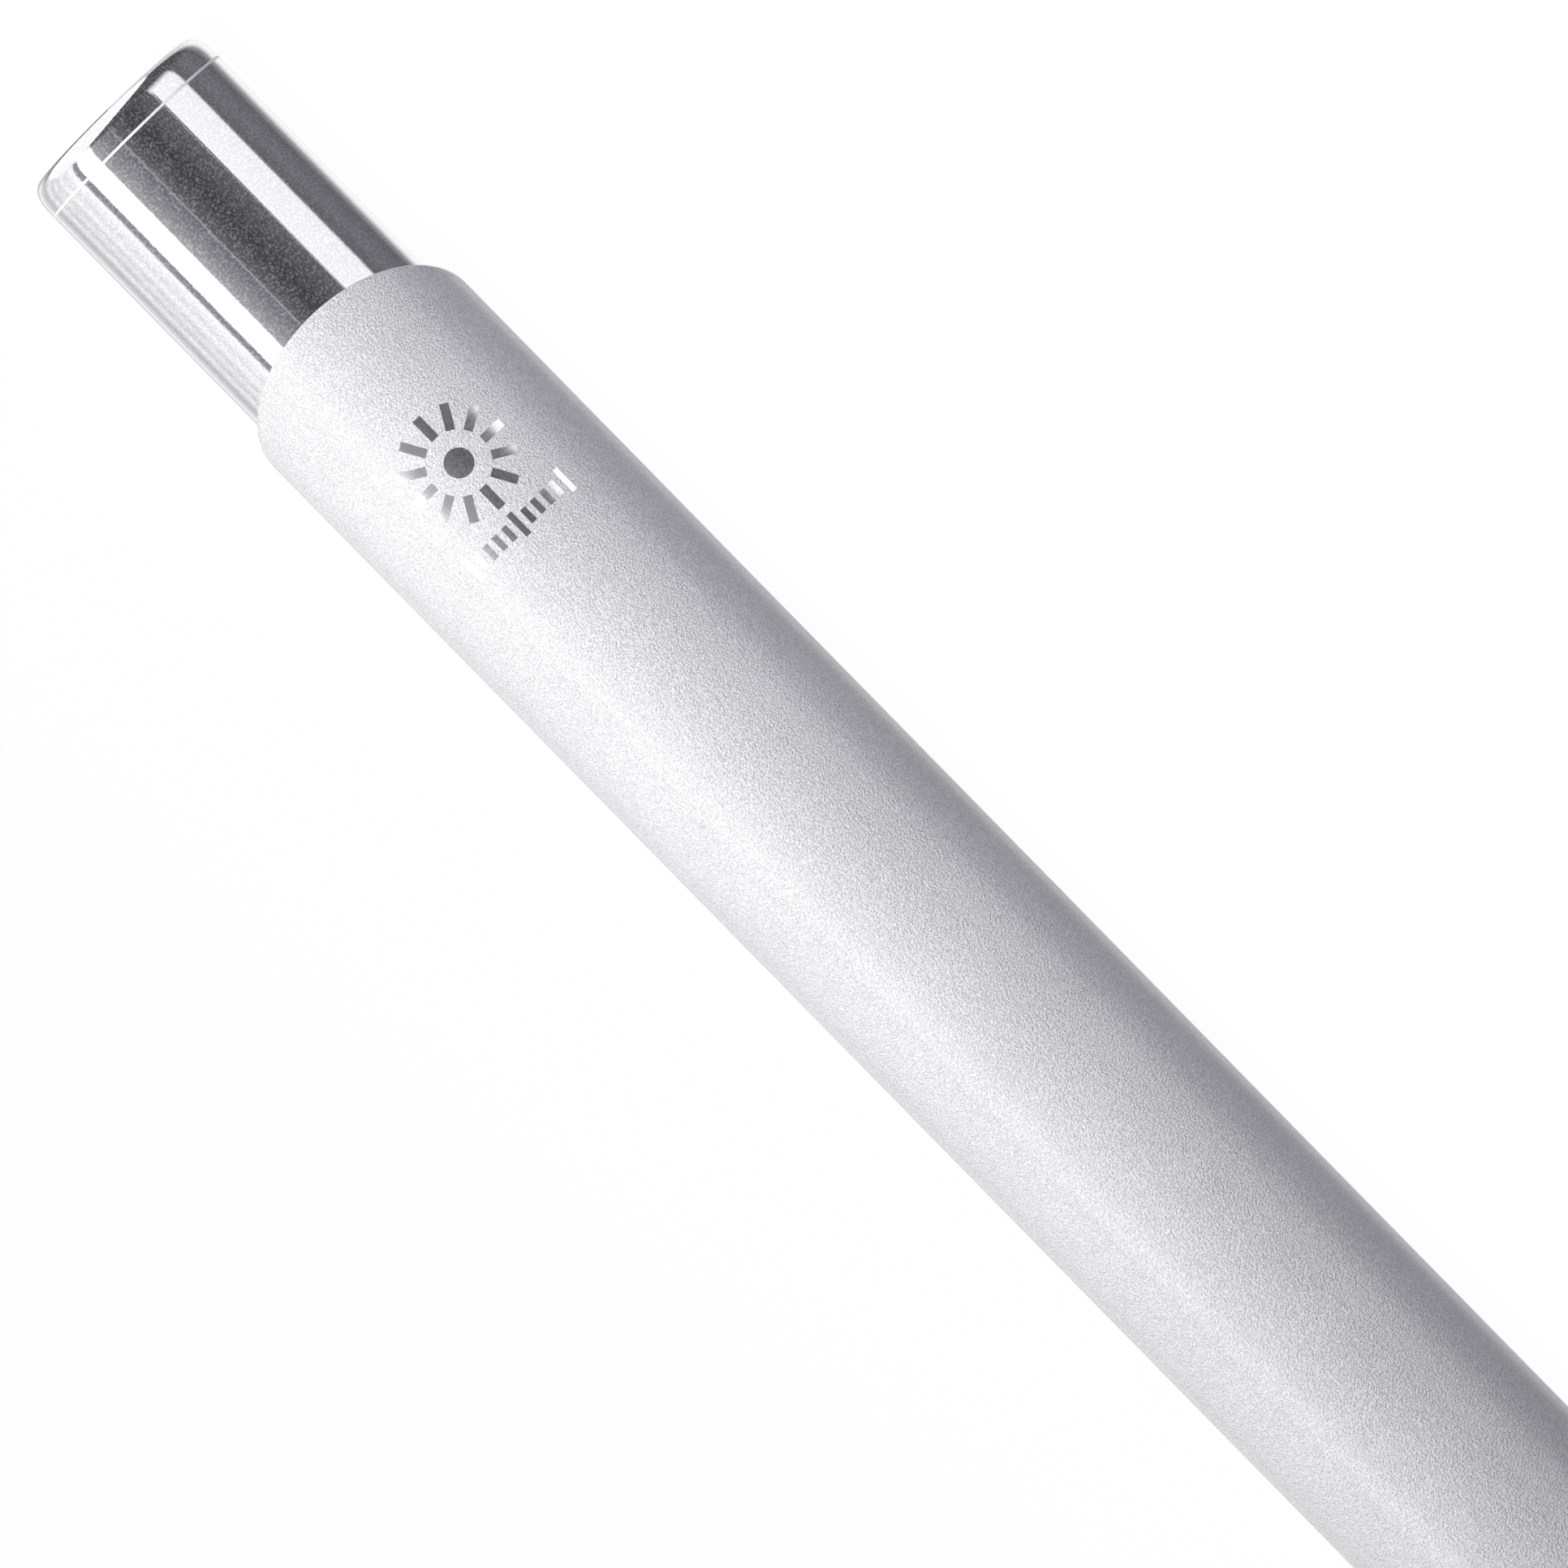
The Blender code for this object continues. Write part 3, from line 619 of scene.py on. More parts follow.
def clear_plastic():
    """Extruded clear tube with faint draw lines."""
    lines = ((0.01, 0.0003, 0.0003), 1.0)
    return worked_finish("clear_plastic", (0.88, 0.90, 0.90), (0.95, 0.96, 0.96), lines, lines,
                         (0.06, 0.14), 0.000003, {"Transmission Weight": 0.9, "IOR": 1.49})


def wet_fill(name, dark, light, roughness):
    """Ink or grease: a glossy body with slow swirls."""
    swirls = ((0.004, 0.001, 0.001), 3.0)
    return worked_finish(name, dark, light, swirls, swirls, (roughness * 0.8, roughness * 1.25), 0.00001)


# Pieces

def slot_spacing(radius, half_width):
    """Angles of a ring's points, from the middle of the slot round to it again, two of them at its sides."""
    side = math.asin(half_width / radius)
    rest = LATHE_STEPS // 2 - SLOT_POINTS
    there = [side * i / SLOT_POINTS for i in range(SLOT_POINTS)]
    there += [side + (math.pi - side) * i / rest for i in range(rest + 1)]
    back_again = [-turn for turn in there[-2:0:-1]]
    return [math.pi / 2 + turn for turn in there + back_again]


def cut_slot(bm, profile, slot):
    """Open the clip's slot between two heights, and wall it through the tube."""
    bm.verts.ensure_lookup_table()
    lower, upper = [
        [bm.verts[i * LATHE_STEPS:(i + 1) * LATHE_STEPS] for i, point in enumerate(profile)
         if abs(point.y - height) < SAME_PLACE] for height in slot]
    holes = []
    walls = []
    for i in range(-SLOT_POINTS, SLOT_POINTS):
        for below, above in zip(lower, upper):
            holes.append(bm.faces.get((below[i], below[i + 1], above[i + 1], above[i])))
        for outside, inside in (lower, upper):
            walls.append((outside[i], outside[i + 1], inside[i + 1], inside[i]))
    for i in (-SLOT_POINTS, SLOT_POINTS):
        walls.append((lower[0][i], upper[0][i], upper[1][i], lower[1][i]))
    bmesh.ops.delete(bm, geom=holes, context="FACES")
    for corners in walls:
        bm.faces.new(corners)
    bmesh.ops.recalc_face_normals(bm, faces=bm.faces)


def make_barrel(settings, clip):
    """A tube with a slot for the clip's tab, and a mouth that slants above the slot."""
    radius = reach("barrel")
    bore = radius - settings.wall
    low, high = bottom("barrel"), top("barrel")
    mouth, foot = settings.mouth_edge, settings.foot_edge
    half_width = clip.width / 2 + settings.slot_clearance
    half_height = clip.thickness / 2 + settings.slot_clearance
    slot = (clip_root() - half_height, clip_root() + half_height)
    corners = [(radius, low, foot), (radius, high, mouth), (bore, high, mouth / 2), (bore, low, foot)]
    profile = split_runs(with_heights(rounded(corners), slot), longest=0.006)
    bm = lathe(profile, spacing=lambda ring_radius: slot_spacing(ring_radius, half_width))
    cut_slot(bm, profile, slot)
    start = slot[1] + half_height
    for vertex in bm.verts:
        if vertex.co.z > start:
            drop = math.tan(settings.slant) * (radius + vertex.co.y)
            vertex.co.z -= drop * (vertex.co.z - start) / (high - start)
    barrel = new_piece("barrel_tube", bm)
    set_in_frame(barrel, "barrel", "barrel", material=satin_aluminium(settings))


def mark_bar(tree, size):
    """A bar with points enough to bend round the barrel."""
    points = {"Vertices X": 5, "Vertices Y": 5, "Vertices Z": 2}
    return made(tree, "GeometryNodeMeshCube", {"Size": size, **points})


def mark_rays(tree, given):
    """A ring of bars that point outwards."""
    place = made(tree, "GeometryNodeInputPosition")
    ring = made(tree, "GeometryNodeMeshCircle", {"Vertices": given["Rays"], "Radius": given["Ray Ring"]})
    return made(tree, "GeometryNodeInstanceOnPoints", {
        "Points": ring,
        "Instance": mark_bar(tree, given["Ray Size"]),
        "Rotation": made(tree, "FunctionNodeAlignRotationToVector", {"Vector": place}, axis="Y"),
    })


def mark_ticks(tree, given):
    """A row of bars, of which every fifth is a long one."""
    row = made(tree, "GeometryNodeMeshLine", {
        "Count": given["Ticks"],
        "Start Location": given["Row Start"],
        "Offset": vector(tree, X=given["Tick Pitch"]),
    })
    past_long = worked_out(tree, "MODULO", made(tree, "GeometryNodeInputIndex"), 5)
    is_short = worked_out(tree, "GREATER_THAN", past_long, 0.5)
    shortening = worked_out(tree, "SUBTRACT", given["Short Tick"], 1)
    return made(tree, "GeometryNodeInstanceOnPoints", {
        "Points": row,
        "Instance": mark_bar(tree, given["Tick Size"]),
        "Scale": vector(tree, X=1, Y=sum_of(tree, 1, is_short, shortening), Z=1),
    })


def wrap_round(tree, flat, given):
    """A flat shape, bent round the barrel's front."""
    place = made(tree, "GeometryNodeInputPosition")
    where = add_node(tree, "ShaderNodeSeparateXYZ", {"Vector": place}).outputs
    along_arc = worked_out(tree, "ADD", where["X"], given["Side"])
    turn = worked_out(tree, "DIVIDE", along_arc, given["Barrel Radius"])
    radius = worked_out(tree, "ADD", where["Z"], given["Barrel Radius"])
    ahead = worked_out(tree, "MULTIPLY", radius, worked_out(tree, "COSINE", turn))
    return made(tree, "GeometryNodeSetPosition", {
        "Geometry": flat,
        "Position": vector(
            tree,
            X=worked_out(tree, "MULTIPLY", radius, worked_out(tree, "SINE", turn)),
            Y=worked_out(tree, "MULTIPLY", ahead, -1),
            Z=worked_out(tree, "ADD", where["Y"], given["Station"])),
    })


def mark_tree(values):
    """Node tree that lays out rays, dot and ticks flat, then wraps them round the barrel."""
    tree, given = new_tree("Barrel mark", values)
    dot = made(tree, "GeometryNodeMeshCylinder", {
        "Vertices": 48,
        "Fill Segments": 5,
        "Radius": given["Dot"],
        "Depth": given["Thickness"],
    })
    join = add_node(tree, "GeometryNodeJoinGeometry")
    for part in (mark_rays(tree, given), dot, mark_ticks(tree, given)):
        tree.links.new(part, join.inputs["Geometry"])
    flat = made(tree, "GeometryNodeRealizeInstances", {"Geometry": join.outputs["Geometry"]})
    hand_out(tree, wrap_round(tree, flat, given), given["Material"])
    return tree


def make_mark(settings):
    """Rays, dot and ticks, sunk into the barrel by three quarters of their thickness."""
    thickness = 4 * settings.height
    values = {
        "Rays": settings.rays,
        "Ray Ring": settings.ray_ring,
        "Ray Size": (settings.stroke, settings.ray_length, thickness),
        "Dot": settings.dot,
        "Ticks": settings.ticks,
        "Tick Pitch": settings.tick_pitch,
        "Tick Size": (settings.tick_stroke, settings.tick_length, thickness),
        "Short Tick": settings.short_tick,
        "Row Start": (-settings.tick_pitch * (settings.ticks - 1) / 2, -settings.row_drop, 0),
        "Thickness": thickness,
        "Barrel Radius": reach("barrel") + settings.height - thickness / 2,
        "Station": top("barrel") - settings.drop,
        "Side": settings.side,
        "Material": polished_aluminium(),
    }
    piece = new_piece("barrel_mark", bmesh.new())
    grow(piece, mark_tree(values), values)
    set_in_frame(piece, "barrel")


def button_seam(settings):
    """Height of the top of the button's tube, under its cap."""
    return top("push_button") - settings.seam_drop


def make_button_tube(settings, finish):
    """A tube that is chamfered under the cap."""
    radius = reach("push_button")
    bore = radius - settings.wall
    low, high = bottom("push_button"), button_seam(settings)
    seam, foot = settings.seam, settings.foot_edge
    corners = [
        (bore, high, 0),
        (bore, low, foot),
        (radius, low, foot),
        (radius, high - seam, seam / 4),
        (radius - seam, high, 0),
    ]
    tube = new_piece("button_tube", lathe(split_runs(rounded(corners), longest=0.003)))
    set_in_frame(tube, "button", "push_button", material=finish)


def make_seam_bead(settings):
    """A bead that fills the seam and stands slightly out of it, near-white as a painted highlight along the
    seam.
    """
    radius = reach("push_button")
    half = settings.seam_ring / 2
    middle = button_seam(settings) + settings.cap_seat / 2
    inner, outer = radius - settings.wall - settings.cap_seat / 2, radius + half / 10
    corners = [
        (inner, middle - half / 4, 0),
        (inner, middle + half / 4, 0),
        (outer - half / 2, middle + half, 0),
        (outer, middle + half / 2, half / 4),
        (outer, middle - half / 2, half / 4),
        (outer - half / 2, middle - half, 0),
    ]
    bead = new_piece("button_seam_bead", lathe(rounded(corners)))
    # painted highlight: the bead's near-white finish stands in for the light caught along the seam
    set_in_frame(bead, "button", material=painted_highlight_aluminium())


def make_button_cap(settings, finish):
    """A cap with a rounded crown, and the plug under it that sits in the tube."""
    radius = reach("push_button")
    seat = button_seam(settings) + settings.cap_seat
    plug = radius - settings.wall - settings.cap_seat
    cap_top = top("button_cap")
    flat = radius - settings.cap_edge
    dome_steps = 24
    dome = []
    for i in range(dome_steps + 1):
        turn = math.pi / 2 * (1 - i / dome_steps)
        dome.append(Vector((flat + settings.cap_edge * math.cos(turn) ** settings.cap_crown,
                            seat + (cap_top - seat) * math.sin(turn) ** settings.cap_crown)))
    below = rounded([(*dome[-1], 0), (plug, seat, 0), (plug, seat - settings.cap_plug, settings.foot_edge),
                     (0, seat - settings.cap_plug, 0)], closed=False)
    profile = [Vector((0, cap_top)), *dome, *below[1:]]
    cap = new_piece("button_cap_turned", lathe(split_runs(profile, longest=0.001)))
    set_in_frame(cap, "button", "button_cap", material=finish)


def make_button(settings):
    finish = chrome("button_chrome")
    make_button_tube(settings, finish)
    make_seam_bead(settings)
    make_button_cap(settings, finish)


def clip_path(settings):
    """The middle of the strip, as (distance from the axis, height) from the tab to the tail."""
    barrel = reach("barrel")
    root = clip_root()
    arm = barrel + settings.gap + settings.thickness / 2
    touch = barrel + settings.rest + settings.thickness / 2
    tail_slope = settings.tail_lift / math.hypot(settings.tail, settings.tail_lift)
    end = bottom("clip") + settings.thickness / 2 * tail_slope
    path = rounded([
        (settings.tab, root, 0),
        (arm, root, settings.root_bend),
        (arm, end + settings.tail + settings.dip, settings.dip_bend),
        (touch, end + settings.tail, settings.dip_bend / 2),
        (touch + settings.tail_lift, end, 0),
    ], closed=False, steps=12)
    return split_runs(path, longest=0.001)


def make_clip(settings):
    """A strip along a bent path, rounded at its edges and at its tail's corners.

    The strip is a pile of layers across its thickness. Each has an outline
    that runs down one side, across the tail and up the other side, and the
    outer layers are inset to round the edges.
    """
    path = clip_path(settings)
    tip = path[-1]
    tail_run = (path[-2] - tip).normalized()
    corner = settings.tail_corner
    body = [point for point in path if (point - tip).length > corner]
    ahead = [(after - before).normalized() for before, after in zip([body[0], *body], [*body[1:], tip])]
    corner_rows, across, edge_steps = 12, 6, 5

    def row(i, inset):
        """The strip's middle, its way out and its half width at a row of a layer."""
        if i < len(body):
            return body[i], Vector((-ahead[i].y, ahead[i].x)), settings.width / 2 - inset
        turn = math.pi / 2 * (i - len(body)) / corner_rows
        small = corner - inset
        middle = tip + tail_run * (inset + small * (1 - math.sin(turn)))
        return middle, Vector((tail_run.y, -tail_run.x)), settings.width / 2 - corner + small * math.cos(turn)

    def layer(inset, height):
        """Lines of points across the strip, from the tab to the tail."""
        lines = []
        for i in range(len(body) + corner_rows + 1):
            middle, out, half = row(i, inset)
            place = middle + out * height
            lines.append([Vector((half * (2 * j / across - 1), place.x, place.y)) for j in range(across + 1)])
        return lines

    def outline(lines):
        return [line[0] for line in lines] + lines[-1][1:-1] + [line[-1] for line in reversed(lines)]

    edge = settings.edge
    places = arc(edge, settings.thickness / 2 - edge, edge, math.pi, math.pi / 2, edge_steps)
    layers = [layer(inset, -height) for inset, height in reversed(places)]
    layers += [layer(inset, height) for inset, height in places]
    bm = bmesh.new()
    back, front = [[[bm.verts.new(point) for point in line] for line in layers[k]] for k in (0, -1)]
    between = [[bm.verts.new(point) for point in outline(lines)] for lines in layers[1:-1]]
    outlines = [outline(back), *between, outline(front)]
    for lines in (back, front, outlines):
        add_faces(bm, lines)
    root = [points[0] for points in outlines] + front[0][1:-1]
    root += [points[-1] for points in reversed(outlines)] + back[0][-2:0:-1]
    bm.faces.new(root)
    bmesh.ops.recalc_face_normals(bm, faces=bm.faces)
    clip = new_piece("clip_strip", bm)
    set_in_frame(clip, "clip", "clip", material=chrome("clip_chrome"))


def thread_wave(vertex, settings, low, high):
    """How deep a thread cuts at a point, fading out at both ends."""
    turn = math.atan2(vertex.co.y, vertex.co.x) / (2 * math.pi)
    wave = 0.5 - 0.5 * math.cos(2 * math.pi * (vertex.co.z / settings.thread_pitch - turn))
    fade = min(1.0, (vertex.co.z - low) / settings.thread_pitch, (high - vertex.co.z) / settings.thread_pitch)
    return settings.thread_depth * wave * max(0.0, fade)


def make_nose_ring(settings, finish):
    """A trim ring with rounded edges."""
    edge = settings.ring_edge
    low, high = bottom("nose_ring"), top("nose_ring")
    radius, bore = reach("nose_ring"), settings.thread + settings.play
    corners = [(radius, low, edge), (radius, high, edge), (bore, high, 0), (bore, low, 0)]
    ring = new_piece("nose_ring_turned", lathe(rounded(corners)))
    set_in_frame(ring, "ring", "nose_ring", material=finish)


def nose_profile(settings):
    """The nose's outline: down the thread and the cone, and back up the stepped bore."""
    thread_low, thread_high = top("nose_ring"), top("nose_cone")
    base_height = bottom("nose_ring") - settings.play / 2
    base_edge, tip_edge = settings.base_edge, settings.tip_edge
    cone_height = base_height - base_edge
    cone_steps, edge_steps = 40, 8
    neck = settings.thread - settings.thread_depth
    neck_height = thread_low - settings.thread_pitch / 5
    thread_heights = (thread_high - settings.thread_depth, thread_low)
    thread = [Vector((settings.thread, height)) for height in thread_heights]
    profile = [Vector((neck, thread_high))]
    profile += split_runs(thread, longest=settings.thread_pitch / THREAD_POINTS)
    profile += [Vector((neck, neck_height)), Vector((neck, base_height))]
    profile += arc(settings.base - base_edge, cone_height, base_edge, math.pi / 2, 0, edge_steps)[:-1]
    for i in range(cone_steps + 1):
        share = i / cone_steps
        radius = settings.base + (settings.tip - settings.base) * share
        radius += settings.bulge * math.sin(math.pi * share)
        profile.append(Vector((radius, cone_height + (tip_edge - cone_height) * share)))
    profile += arc(settings.tip - tip_edge, tip_edge, tip_edge, 0, -math.pi / 2, edge_steps)[1:]
    height = 0
    for bore, depth in zip(NOSE_BORES, [*NOSE_STEPS, thread_high]):
        profile += [Vector((bore, height)), Vector((bore, depth))]
        height = depth
    return profile


def make_nose_cone(settings, finish):
    """A cone under a thread that is cut into the turned shape."""
    low, high = top("nose_ring"), top("nose_cone")
    bm = lathe(nose_profile(settings))
    for vertex in bm.verts:
        radius = math.hypot(vertex.co.x, vertex.co.y)
        if abs(radius - settings.thread) < SAME_PLACE and vertex.co.z > low - SAME_PLACE:
            cut = thread_wave(vertex, settings, low, high)
            vertex.co.xy *= (radius - cut) / radius
    nose = new_piece("nose_cone_turned", bm)
    set_in_frame(nose, "nose", "nose_cone", material=finish)


def make_nose(settings):
    finish = chrome("nose_chrome")
    make_nose_ring(settings, finish)
    make_nose_cone(settings, finish)


def spring_tree(values):
    """Node tree of a coil spring whose end turns lie close together."""
    tree, given = new_tree("Return spring", values)
    turn_points, wire_points = 48, 14
    coil = made(tree, "GeometryNodeCurveSpiral", {
        "Resolution": turn_points,
        "Rotations": given["Turns"],
        "Start Radius": given["Coil Radius"],
        "End Radius": given["Coil Radius"],
        "Height": 0,
    })
    share = made(tree, "GeometryNodeSplineParameter")
    rise = spread(tree, share, given["Bottom"], given["Top"], 0, 1, "SMOOTHSTEP")
    wire = made(tree, "GeometryNodeCurveToMesh", {
        "Curve": made(tree, "GeometryNodeSetPosition", {
            "Geometry": coil,
            "Offset": vector(tree, Z=rise),
        }),
        "Profile Curve": made(tree, "GeometryNodeCurvePrimitiveCircle", {
            "Resolution": wire_points,
            "Radius": given["Wire Radius"],
        }),
        "Fill Caps": True,
    })
    hand_out(tree, wire, given["Material"])
    return tree


def make_spring(settings):
    """The coil at its length at rest."""
    low, high = bottom("return_spring"), top("return_spring")
    radius = settings.wire / 2
    steel = bare_metal("spring_steel", (0.52, 0.52, 0.51), (0.64, 0.64, 0.63), 0.28, 0.00005, 0.000002)
    values = {
        "Turns": settings.turns,
        "Coil Radius": reach("return_spring") - radius,
        "Wire Radius": radius,
        "Bottom": low + radius,
        "Top": high - radius,
        "Material": steel,
    }
    spring = new_piece("return_spring_coil", bmesh.new())
    grow(spring, spring_tree(values), values)
    set_in_frame(spring, "barrel", "return_spring")
    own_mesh(spring)


def ball_place():
    """Height of the ball's middle, and its radius."""
    low, high = bottom("writing_ball"), top("writing_ball")
    return (low + high) / 2, (high - low) / 2


def make_socket(settings):
    """A turned point with a cup for the ball."""
    centre, ball_radius = ball_place()
    low, high = bottom("point_socket"), top("point_socket")
    shank = reach("point_socket")
    cup = ball_radius + settings.play
    cup_steps, socket_steps = 24, 96
    rim_turn = math.asin((low - centre) / cup)
    channel_turn = math.acos(settings.channel / cup)
    cup_arc = arc(0, centre, cup, rim_turn, channel_turn, cup_steps)
    rim = cup_arc[0].x
    shell = rounded([
        (settings.channel, high, 0),
        (shank, high, settings.rim),
        (shank, centre - ball_radius + settings.cone, settings.shoulder),
        (rim + settings.rim, low, settings.rim / 3),
        (rim, low, 0),
    ], closed=False)
    profile = split_runs(shell[:-1], longest=0.0008) + cup_arc
    socket = new_piece("point_socket_turned", lathe(profile, socket_steps))
    steel = bare_metal("point_steel", (0.60, 0.60, 0.60), (0.70, 0.70, 0.69), 0.22, 0.00004, 0.000002)
    set_in_frame(socket, "refill", "point_socket", material=steel)


def make_ball():
    centre, radius = ball_place()
    ball_rings, ball_steps = 32, 64
    profile = arc(0, centre, radius, -math.pi / 2, math.pi / 2, ball_rings)
    ball = new_piece("writing_ball_ground", lathe(profile, ball_steps))
    carbide = bare_metal("carbide", (0.36, 0.36, 0.38), (0.46, 0.46, 0.48), 0.16, 0.00003, 0.000001)
    set_in_frame(ball, "ball", "writing_ball", material=carbide)


def finish_inside():
    """Give the pieces that stay as the frame has them their own finishes."""
    dark = moulded_plastic("dark_plastic", (0.040, 0.040, 0.045), (0.075, 0.075, 0.080), 0.42)
    pale = moulded_plastic("pale_plastic", (0.74, 0.74, 0.70), (0.82, 0.82, 0.79), 0.45)
    brass = bare_metal("brass", (0.66, 0.47, 0.20), (0.78, 0.58, 0.29), 0.30, 0.00006, 0.000004)
    for nodes, material in (
        (("guide_sleeve", "cam_rotor"), dark),
        (("button_core", "plunger", "refill_plug", "refill_nose"), pale),
        (("refill_tube",), clear_plastic()),
        (("ink",), wet_fill("ink", (0.006, 0.008, 0.022), (0.014, 0.017, 0.042), 0.22)),
        (("ink_follower",), wet_fill("follower_grease", (0.64, 0.56, 0.36), (0.74, 0.67, 0.48), 0.30)),
        (("thread_bush",), brass),
    ):
        for node in nodes:
            mesh = frame["nodes"][node].data
            mesh.materials.clear()
            mesh.materials.append(material)


# Studio

# Brightness round the pen as bright metal sees it, in degrees from the camera up
# over the pen (minus) and down under it (plus). In order: a gap behind the pen,
# the ribbed ceiling, a gap, the key softbox, the dark room round the camera with
# one thin bright line, the table's bright edge, its underside, the back wall
ROUND_THE_PEN = (
    (-176, 0.35), (-160, 1.15), (-137, 0.67), (-126, 1.20), (-119, 0.90), (-111, 1.16), (-104, 1.02),
    (-97, 1.32), (-90, 1.14), (-76, 1.47), (-73.5, 0.38), (-67.5, 0.38),
    (-65, 3.40), (-45.5, 3.40),
    (-43, 0.58), (-30, 0.36), (-15, 0.22), (-14.2, 0.52), (-13.2, 0.52), (-12.4, 0.17), (0, 0.11), (12, 0.07),
    (42.5, 0.17), (44.5, 1.36), (77, 1.30),
    (81, 0.17), (100, 0.22), (126, 0.17),
    (137, 0.42), (146, 1.08), (157, 1.25), (171, 0.95),
)
# The same for what bright metal sees past the pen's ends
PAST_THE_ENDS = ((-150, 0.25), (-138, 1.05), (-70, 1.05), (-50, 0.10), (130, 0.10), (148, 0.95), (170, 0.75))
ENDS_FROM, ENDS_TO = 0.30, 0.60  # lean of a ray along the pen over which the second list takes over
PANEL_EDGE = math.radians(1)  # over which the softboxes past the ends fade out
DARK_TINT = (0.00, -0.02, 0.08)  # how far shade leans to blue
SENSOR = 36  # width in millimetres
NEAREST, FARTHEST = 0.01, 20  # what the camera sees, in metres
FLOOR_REACH = 3.0
FLOOR_DROP = 0.00002  # keeps the floor clear of the pen's lowest line


def camera_axes(stage):
    """The way back to the camera, and up past the pen as the camera sees it."""
    tilt = stage.camera_elevation
    back = Vector((0, -math.cos(tilt), math.sin(tilt)))
    over = Vector((0, math.sin(tilt), math.cos(tilt)))
    return back, over


def picture_centre(stage):
    over = camera_axes(stage)[1]
    return PEN @ Vector((0, 0, top("button_cap") - stage.centre_drop)) - over * stage.centre_shift


def make_camera(stage):
    """The camera, rolled so that the pen runs down to the right."""
    back, over = camera_axes(stage)
    along = Vector((1, 0, 0))
    right = -math.cos(stage.pen_tilt) * along - math.sin(stage.pen_tilt) * over
    up = math.sin(stage.pen_tilt) * along - math.cos(stage.pen_tilt) * over
    data = bpy.data.cameras.new("camera")
    data.sensor_width = SENSOR
    data.lens = SENSOR * stage.camera_distance / stage.picture
    data.clip_start = NEAREST
    data.clip_end = FARTHEST
    camera = bpy.data.objects.new("camera", data)
    matrix = Matrix((right, up, back)).transposed().to_4x4()
    matrix.translation = picture_centre(stage) + back * stage.camera_distance
    camera.matrix_world = matrix
    bpy.context.scene.collection.objects.link(camera)
    bpy.context.scene.camera = camera


def make_floor(stage):
    """A floor that the camera sees as nearly plain white, and that still takes the pen's shadow."""
    bm = bmesh.new()
    place = Matrix.Translation((0, 0, -FLOOR_DROP))
    bmesh.ops.create_grid(bm, x_segments=1, y_segments=1, size=FLOOR_REACH, matrix=place)
    floor = new_piece("floor", bm)
    floor.visible_glossy = False
    material = bpy.data.materials.new("floor")
    material.use_nodes = True
    tree = material.node_tree
    tree.nodes.remove(tree.nodes["Principled BSDF"])
    matt = made(tree, "ShaderNodeBsdfDiffuse", {"Color": (*stage.floor_colour, 1)})
    glow = made(tree, "ShaderNodeEmission", {"Strength": stage.floor_white})
    path = add_node(tree, "ShaderNodeLightPath").outputs
    seen = worked_out(tree, "MAXIMUM", path["Is Camera Ray"], path["Is Transmission Ray"])
    share = worked_out(tree, "MULTIPLY", seen, stage.floor_glow)
    mixed = made(tree, "ShaderNodeMixShader", {"Fac": share, 1: matt, 2: glow})
    tree.links.new(mixed, tree.nodes["Material Output"].inputs["Surface"])
    floor.data.materials.append(material)


def banded(tree, turn, bands):
    """Brightness by bands, from a turn that runs from 0 to 1."""
    ramp = add_node(tree, "ShaderNodeValToRGB", {"Fac": turn})
    brightest = max(level for degrees, level in bands)
    stops = ramp.color_ramp.elements
    while len(stops) > 1:
        stops.remove(stops[-1])
    for i, (degrees, level) in enumerate(bands):
        place = degrees / 360 + 0.5
        stop = stops.new(place) if i else stops[0]
        stop.position = place
        shade = max(0.0, 1 - level)
        stop.color = (*[level * (1 + shade * lean) / brightest for lean in DARK_TINT], 1)
    inputs = {"Vector": ramp.outputs["Color"], "Scale": brightest}
    return made(tree, "ShaderNodeVectorMath", inputs, operation="SCALE")


def grey(level):
    return (level, level, level)


